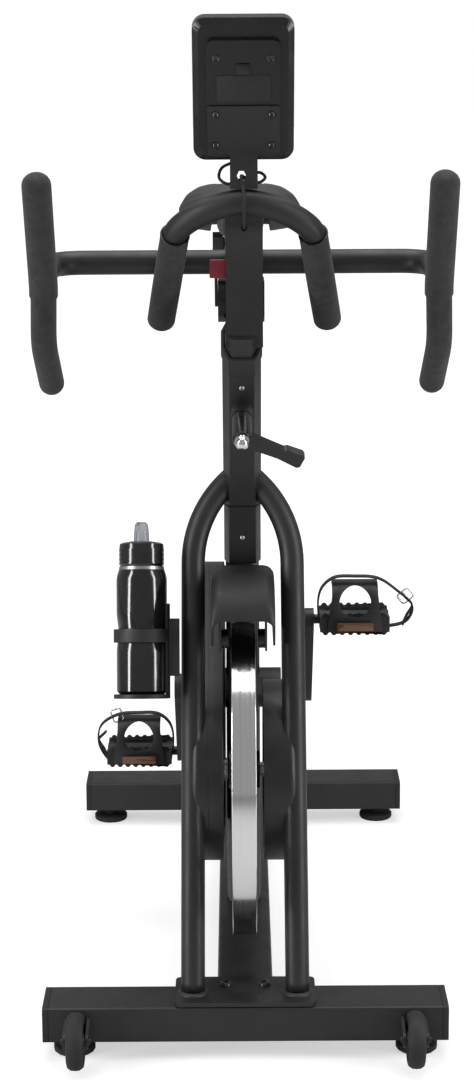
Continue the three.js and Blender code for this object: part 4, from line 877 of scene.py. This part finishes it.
def add_fork(paints):
    lean = math.tan(FORK_LEAN)
    outline = [(FRONT_Y + (z - PLATE_TOP) * lean, z) for z in (DROPOUT["high"], DROPOUT["low"])]
    outline += arc(AXLE, DROPOUT["reach"], -math.pi / 2, math.pi / 2, 12)
    depth = DROPOUT["outer"] - DROPOUT["inner"]
    for side, sign in SIDES.items():
        leg = tube(f"fork_tube_{side}", finely(fork_line(sign), 0.012), FORK["radius"], paints["powder"])
        finish_piece(leg, "frame", "frame_powder", f"fork_leg_{side}")
        start = DROPOUT["inner"] if sign > 0 else -DROPOUT["outer"]
        stand = Matrix(((0, 0, 1, start), (1, 0, 0, 0), (0, 1, 0, 0), (0, 0, 0, 1)))
        plate = slab(f"dropout_{side}", outline, depth, paints["powder"], stand)
        finish_piece(plate, "frame", "frame_powder")


# ------------------------------------------------------------------ drive


def hub_outline(inset):
    return arc(AXLE, DRUM["radius"] - inset, 0, 2 * math.pi, 96)[:-1]


def belt_outline(inset):
    """A loop round the flywheel's axle and the crank's, in (y, z)."""
    front, rear = DRUM["radius"] - inset, DRUM["rear_radius"] - inset
    across = BRACKET - AXLE
    along = math.atan2(across.z, across.y)
    spread = math.acos((front - rear) / across.length)
    nose = arc(AXLE, front, along + spread, along - spread + 2 * math.pi, 48)
    return nose + arc(BRACKET, rear, along - spread, along + spread, 48)


def add_cover(name, source, open_x, face_x, corner, outline, paint):
    """A cover that is open at open_x and has its rounded face at face_x."""
    back = math.copysign(1, face_x - open_x)
    wall = DRUM_WALL
    levels = [(face_x - back * wall, wall + corner), (face_x - back * (wall + corner), wall)]
    levels += [(open_x, wall), (open_x, 0.0)]
    for k in range(7):
        turn = math.pi / 2 * k / 6
        levels.append((face_x - back * corner * (1 - math.sin(turn)), corner * (1 - math.cos(turn))))
    rings = [[Vector((x, y, z)) for y, z in outline(inset)] for x, inset in levels]
    shell = face_outward(add_mesh(name, *bridge(rings), paint))
    finish_piece(soften_edges(shell, 0, CREASE), "frame", "cover_plastic", source)


def add_drive_covers(paints):
    near, far, split = DRUM["inner"], DRUM["outer"], DRUM["split"]
    covers = [
        ("hub_cap", "hub_cover", near, far, DRUM_CORNER, hub_outline),
        ("belt_guard_shell", "belt_guard_outer", -split - GUARD_GAP, -far, DRUM_CORNER, belt_outline),
        ("belt_guard_back", "belt_guard_inner", -split, -near, GUARD_CORNER, belt_outline),
    ]
    for cover in covers:
        add_cover(*cover, paints["cover"])


def add_flywheel(paints):
    f = FLYWHEEL
    inner = f["radius"] - f["rim"]
    half = [
        (-f["hub_half"], FLYWHEEL_BORE), (-f["hub_half"], f["hub"]), (-f["web"], f["hub"] + 0.004),
        (-f["web"], inner - 0.006), (-f["half"], inner), (-f["half"], f["radius"]),
    ]
    outline = half + [(-x, r) for x, r in half[::-1]]
    wheel = lathe("flywheel_disc", rounded(outline, 0.0016), paints["chrome"], along_x(AXLE), 160)
    finish_piece(wheel, "flywheel_body", "flywheel_chrome", "flywheel")


# ------------------------------------------------------------------ pedals


def pedal_centre(side):
    sign = SIDES[side]
    turn = CRANK["angle"] if sign > 0 else CRANK["angle"] - math.pi
    reach = CRANK["length"]
    return BRACKET + Vector((sign * PEDAL["x"], reach * math.cos(turn), reach * math.sin(turn)))


def tooth_line():
    """A row of saw teeth, as an outline in (x, height)."""
    half = PEDAL["half_width"] - TEETH["side"]
    teeth, depth, base = TEETH["count"], TEETH["depth"], TEETH["base"]
    pitch = 2 * half / teeth
    line = [(half, -base), (-half, -base)]
    for k in range(teeth):
        left = -half + k * pitch
        line += [(left, 0.0), (left + 0.35 * pitch, depth), (left + 0.65 * pitch, depth)]
    return [*line, (half, 0.0)]


def add_pedal_edge(side, centre, body, end, end_name, paints):
    """Two rows of teeth and a reflector on a pedal's front (end -1) or rear (end 1) edge."""
    half_depth = PEDAL["half_depth"]
    thick = TEETH["thick"]
    for level, level_name in ((1, "top"), (-1, "bottom")):
        y = end * (half_depth - TEETH["inset"]) + thick / 2
        spot = Matrix.Translation(centre + Vector((0, y, level * PEDAL["half_height"])))
        stand = spot @ QUARTER_X @ Matrix.Scale(level, 4, (0, 1, 0))
        name = f"teeth_{side}_{end_name}_{level_name}"
        row = slab(name, tooth_line(), thick, paints["plastic"], stand, FINE_BEVEL)
        finish_piece(row, body, "cover_plastic")
    reach = CAGE_FACE if end < 0 else half_depth
    face = Matrix.Translation(centre + Vector((0, end * (reach + REFLECTOR["gap"]), -REFLECTOR["drop"])))
    stand = face @ Matrix.Rotation(math.pi / 2 * -end, 4, "X")
    lens = plate_of(f"reflector_{side}_{end_name}", REFLECTOR, paints["reflector"], stand, FINE_BEVEL)
    finish_piece(lens, body, "cover_plastic")


def add_pedal_details(paints):
    for side in SIDES:
        centre = pedal_centre(side)
        body = f"pedal_{side}_body"
        for end, end_name in ((-1, "front"), (1, "rear")):
            add_pedal_edge(side, centre, body, end, end_name, paints)
        add_toe_cage(side, centre, body, paints)
        add_strap(side, centre, body, paints)
        add_buckle(side, centre, body, paints)


def add_toe_cage(side, centre, body, paints):
    """A bent sheet with a round window, narrower towards its top."""
    line = through(CAGE_LINE, 6, 2)
    rings = []
    for p, along in zip(line, directions(line)):
        across = Vector((0, along.y, -along.x)) * CAGE["thick"]
        half = CAGE["half"] - CAGE["taper"] * max(0.0, min(1.0, p.y / CAGE["taper_top"]))
        low = centre + Vector((-half, p.x, p.y))
        high = centre + Vector((half, p.x, p.y))
        rings.append([low, high, high + across, low + across])
    cage = face_outward(add_mesh(f"toe_cage_sheet_{side}", *bridge(rings), paints["plastic"]))
    window = Matrix.Translation(centre + Vector((0, -0.020, CAGE["hole_z"]))) @ QUARTER_X
    depth, hole = 0.045, CAGE["hole"]
    cutter = lathe("window_cutter", [(0.0, 0.0), (0.0, hole), (depth, hole), (depth, 0.0)], None, window)
    apply_modifier(cage, "BOOLEAN", object=cutter, solver="EXACT")
    bpy.data.objects.remove(cutter)
    finish_piece(soften_edges(cage, 0.0006), body, "cover_plastic", f"toe_cage_{side}")


def strap_band(name, route, side, centre, paint, closed):
    """A flat band along a route in (outward, up) from the pedal's spindle."""
    sign = SIDES[side]
    line = [Vector((sign * p.x, 0, p.y)) for p in through(route, 8, 2)]
    line = line[:-1] if closed else line
    edge = Vector((0, STRAP["width"] / 2, 0))
    rings = []
    for p, along in zip(line, directions(line, closed)):
        out = Vector((along.z, 0, -along.x)) * STRAP["thick"] * sign
        middle = centre + Vector((0, STRAP["y"], 0)) + p
        rings.append([middle - edge, middle + edge, middle + edge + out, middle - edge + out])
    return soften_edges(face_outward(add_mesh(name, *bridge(rings, closed), paint)), FINE_BEVEL)


def add_strap(side, centre, body, paints):
    """The strap through the pedal and over the toe cage, with its free end hanging from the buckle."""
    slack = STRAP["slack"][side]
    outer_half = [
        (0.0, -0.004), (0.046, -0.004), (slack - 0.008, 0.004),
        (slack, 0.024), (0.058, 0.048), (0.033, 0.0645),
    ]
    inner_half = [
        (0.0, 0.0675), (-0.030, 0.0655), (-0.047, 0.050),
        (-0.0515, 0.022), (-0.046, -0.003), (-0.030, -0.004),
    ]
    route = [*outer_half, *inner_half, outer_half[0]]
    loop = strap_band(f"strap_loop_{side}", route, side, centre, paints["webbing"], True)
    finish_piece(loop, body, "foot_rubber", f"toe_strap_{side}")
    hanging = [
        (slack - 0.010, 0.040), (slack + 0.002, 0.026), (slack - 0.006, 0.010), (slack - 0.012, -0.004),
    ]
    tail = strap_band(f"strap_tail_{side}", hanging, side, centre, paints["webbing"], False)
    finish_piece(tail, body, "foot_rubber")


def add_buckle(side, centre, body, paints):
    sign = SIDES[side]
    out, rise, lean = BUCKLE_AT[side]
    spot = centre + Vector((sign * out, STRAP["y"], rise))
    place = Matrix.Translation(spot) @ Matrix.Rotation(lean * sign, 4, "Y") @ QUARTER_X
    outline = soft_rectangle(BUCKLE["width"], BUCKLE["height"], BUCKLE["corner"], 4)
    ring = [place @ Vector((x, y, 0)) for x, y in outline]
    line = finely([*ring, ring[0]], 0.002)
    wire = tube(f"buckle_{side}", line, BUCKLE["wire"], paints["chrome"], sides=FINE_ROUND)
    finish_piece(wire, body, "bare_steel")
    half = BUCKLE["height"] / 2
    ends = [place @ Vector((0, y, 0)) for y in (-half, half)]
    bar = tube(f"buckle_bar_{side}", ends, BUCKLE["bar"], paints["steel"], sides=FINE_ROUND)
    finish_piece(bar, body, "bare_steel")


# ------------------------------------------------------------------ bottle


def bottle_place():
    leg = Matrix.Translation((0, FRONT_Y, PLATE_TOP)) @ Matrix.Rotation(-FORK_LEAN, 4, "X")
    return leg @ Matrix.Translation((BOTTLE["x"], BOTTLE["y"], 0))


def add_bottle(paints):
    bottom, shoulder, top, radius = (BOTTLE[k] for k in ("bottom", "shoulder", "top", "radius"))
    base = [(bottom, 0.0), (bottom, radius - 0.004), (bottom + 0.004, radius)]
    grip = []
    for k in range(13):
        t = k / 12
        grip.append((bottom + 0.055 + 0.055 * t, radius - BOTTLE_WAIST * math.sin(math.pi * t) ** 2))
    neck = [
        (shoulder - 0.006, radius), (shoulder, radius - 0.0012), (top - 0.004, 0.0305), (top, 0.029),
        (top, 0.027), (top + 0.016, 0.027), (top + 0.016, 0.0),
    ]
    shell = lathe("bottle_shell", [*base, *grip, *neck], paints["gloss"], bottle_place(), 64)
    finish_piece(shell, "bottle_body", "bottle_paint", "bottle")
    band = [(top - 0.006, 0.0295), (top - 0.006, 0.0308), (top - 0.0002, 0.0302), (top - 0.0002, 0.0282)]
    ring = lathe("bottle_neck_ring", band, paints["steel"], bottle_place(), 64)
    finish_piece(ring, "bottle_body", "bare_steel")


def add_bottle_cap(paints):
    top, cap_top, spout_top = BOTTLE["top"], BOTTLE_CAP["top"], BOTTLE_CAP["spout"]
    radius, pitch = BOTTLE_CAP["radius"], BOTTLE_CAP["ridge_pitch"]
    skirt = [(top + 0.0003, 0.0290), (top + 0.0020, 0.0298)]
    ridges = [(top + 0.004 + pitch * k, radius - 0.0006 * (k % 2)) for k in range(BOTTLE_CAP["ridges"])]
    lid_top = cap_top + 0.002
    crown = [(cap_top - 0.002, radius - 0.001), (cap_top, 0.0265), (lid_top, 0.014), (lid_top, 0.0)]
    under = [(top + 0.0163, 0.0), (top + 0.0163, 0.0273), (top + 0.0003, 0.0273)]
    cap = lathe("bottle_lid", [*skirt, *ridges, *crown, *under], paints["gloss"], bottle_place(), 64)
    finish_piece(cap, "bottle_cap_body", "gloss_plastic", "bottle_cap")
    low = cap_top + 0.0022
    spout = [
        (low, 0.0), (low, 0.0105), (low + 0.012, 0.0100), (spout_top - 0.004, 0.0090), (spout_top, 0.0060),
        (spout_top, 0.0),
    ]
    nozzle = lathe("bottle_spout", spout, paints["clear"], bottle_place(), 40)
    finish_piece(nozzle, "bottle_cap_body", "gloss_plastic")


# ------------------------------------------------------------------ saddle


def add_saddle(paints):
    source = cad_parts["saddle"]
    pad = bpy.data.objects.new("saddle_cover", source.data.copy())
    bpy.context.scene.collection.objects.link(pad)
    pad.data.materials.clear()
    pad.data.materials.append(paints["leather"])
    apply_modifier(pad, "WELD", merge_threshold=1e-5)
    apply_modifier(pad, "REMESH", mode="VOXEL", voxel_size=SADDLE_VOXEL)
    apply_modifier(pad, "SMOOTH", iterations=6, factor=0.5)
    swell(pad)
    apply_modifier(pad, "SUBSURF", levels=1, render_levels=1)
    press_seams(pad)
    pad.data.polygons.foreach_set("use_smooth", [True] * len(pad.data.polygons))
    finish_piece(pad, "saddle_body", "saddle_cover", "saddle")


def apply_modifier(piece, kind, **settings):
    modifier = piece.modifiers.new(kind.lower(), kind)
    for key, value in settings.items():
        setattr(modifier, key, value)
    made = bpy.data.meshes.new_from_object(piece.evaluated_get(bpy.context.evaluated_depsgraph_get()))
    piece.modifiers.clear()
    piece.data = made


def swell(pad):
    """Blows the cover up a little as cloth, then limits how far each point has moved."""
    rest = [v.co.copy() for v in pad.data.vertices]
    group = pad.vertex_groups.new(name="held")
    group.add([i for i, p in enumerate(rest) if p.z < WELL_TOP], 1.0, "REPLACE")
    cloth = pad.modifiers.new("cloth", "CLOTH")
    cloth.settings.use_pressure = True
    cloth.settings.uniform_pressure_force = SADDLE_PRESSURE
    cloth.settings.effector_weights.gravity = 0.0
    cloth.settings.vertex_group_mass = "held"
    scene = bpy.context.scene
    for number in range(1, SWELL_FRAMES + 1):
        scene.frame_set(number)
    made = bpy.data.meshes.new_from_object(pad.evaluated_get(bpy.context.evaluated_depsgraph_get()))
    pad.modifiers.clear()
    pad.data = made
    scene.frame_set(1)
    for vertex, start in zip(made.vertices, rest):
        move = vertex.co - start
        if move.length > SADDLE_SWELL:
            vertex.co = start + move.normalized() * SADDLE_SWELL


def press_seams(pad):
    """Sinks the saddle's relief channel and the two seams beside it into the top."""
    low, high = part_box("saddle")
    length = high.y - low.y
    for vertex in pad.data.vertices:
        p = vertex.co
        if p.z < low.z + SADDLE_TOP_FROM:
            continue
        t = (p.y - low.y) / length
        fade = max(0.0, min(1.0, (t - 0.18) / 0.15)) * max(0.0, min(1.0, (0.92 - t) / 0.12))
        channel = CHANNEL["depth"] * math.exp(-((p.x / CHANNEL["half"]) ** 2))
        seam_x = SEAM["x"] + SEAM["spread"] * max(0.0, t - SEAM["spread_from"])
        seam = SEAM["depth"] * math.exp(-(((abs(p.x) - seam_x) / SEAM["half"]) ** 2))
        vertex.co.z -= fade * (channel + seam)


# ------------------------------------------------------------------ frame details


def head_place(along):
    """A frame on the head tube's front face whose Z axis points forward, out of it."""
    face = Matrix.Translation((0, HEAD["y"], HEAD["z"])) @ Matrix.Rotation(HEAD_LEAN, 4, "X")
    return face @ Matrix.Translation((0, HEAD["front"], along)) @ QUARTER_X


def add_frame_details(paints):
    """Bolts, weld beads, two screws, and the clamp lever's acorn nut."""
    bead = [(0.0, 0.0162), (0.0, 0.0205), (0.0012, 0.0198), (0.0032, 0.0172), (0.0036, 0.0162)]
    for side, sign in SIDES.items():
        spot = Matrix.Translation((sign * PLATE_BOLT["x"], PLATE_BOLT["y"], PLATE_TOP))
        screw(f"plate_bolt_{side}", spot, PLATE_BOLT["radius"], paints["smooth"], "frame", "bare_steel", 0.7)
        foot = Matrix.Translation((sign * FORK["foot_x"], FRONT_Y, PLATE_TOP))
        weld = lathe(f"weld_bead_{side}", bead, paints["powder"], foot)
        finish_piece(weld, "frame", "frame_powder")
    screw("head_screw", head_place(HEAD["screw_along"]), 0.0036, paints["steel"], "frame", "bare_steel", 0.4)
    acorn = [
        (0.0741, 0.0), (0.0741, 0.0100), (0.0790, 0.0100), (0.0810, 0.0092),
        (0.0850, 0.0080), (0.0880, 0.0052), (0.0892, 0.0),
    ]
    nut = lathe("lever_nut", acorn, paints["chrome"], head_place(HEAD["clamp_along"]), 24)
    finish_piece(nut, "height_lever_body", "bare_steel")
    neck = Matrix.Translation(NECK_SCREW) @ QUARTER_X
    screw("neck_screw", neck, 0.0034, paints["steel"], "frame", "bare_steel", 0.4)


# ------------------------------------------------------------------ build

add_camera()
PAINTS = make_materials()
add_cable(PAINTS)
add_stage()
dress_cad_nodes(PAINTS)
add_main_bar(PAINTS)
add_upper_bar(PAINTS)
add_stem_details(PAINTS)
add_console_screws(PAINTS)
add_console_back(PAINTS)
add_console_front(PAINTS)
add_fork(PAINTS)
add_drive_covers(PAINTS)
add_flywheel(PAINTS)
add_pedal_details(PAINTS)
add_bottle(PAINTS)
add_bottle_cap(PAINTS)
add_saddle(PAINTS)
add_frame_details(PAINTS)
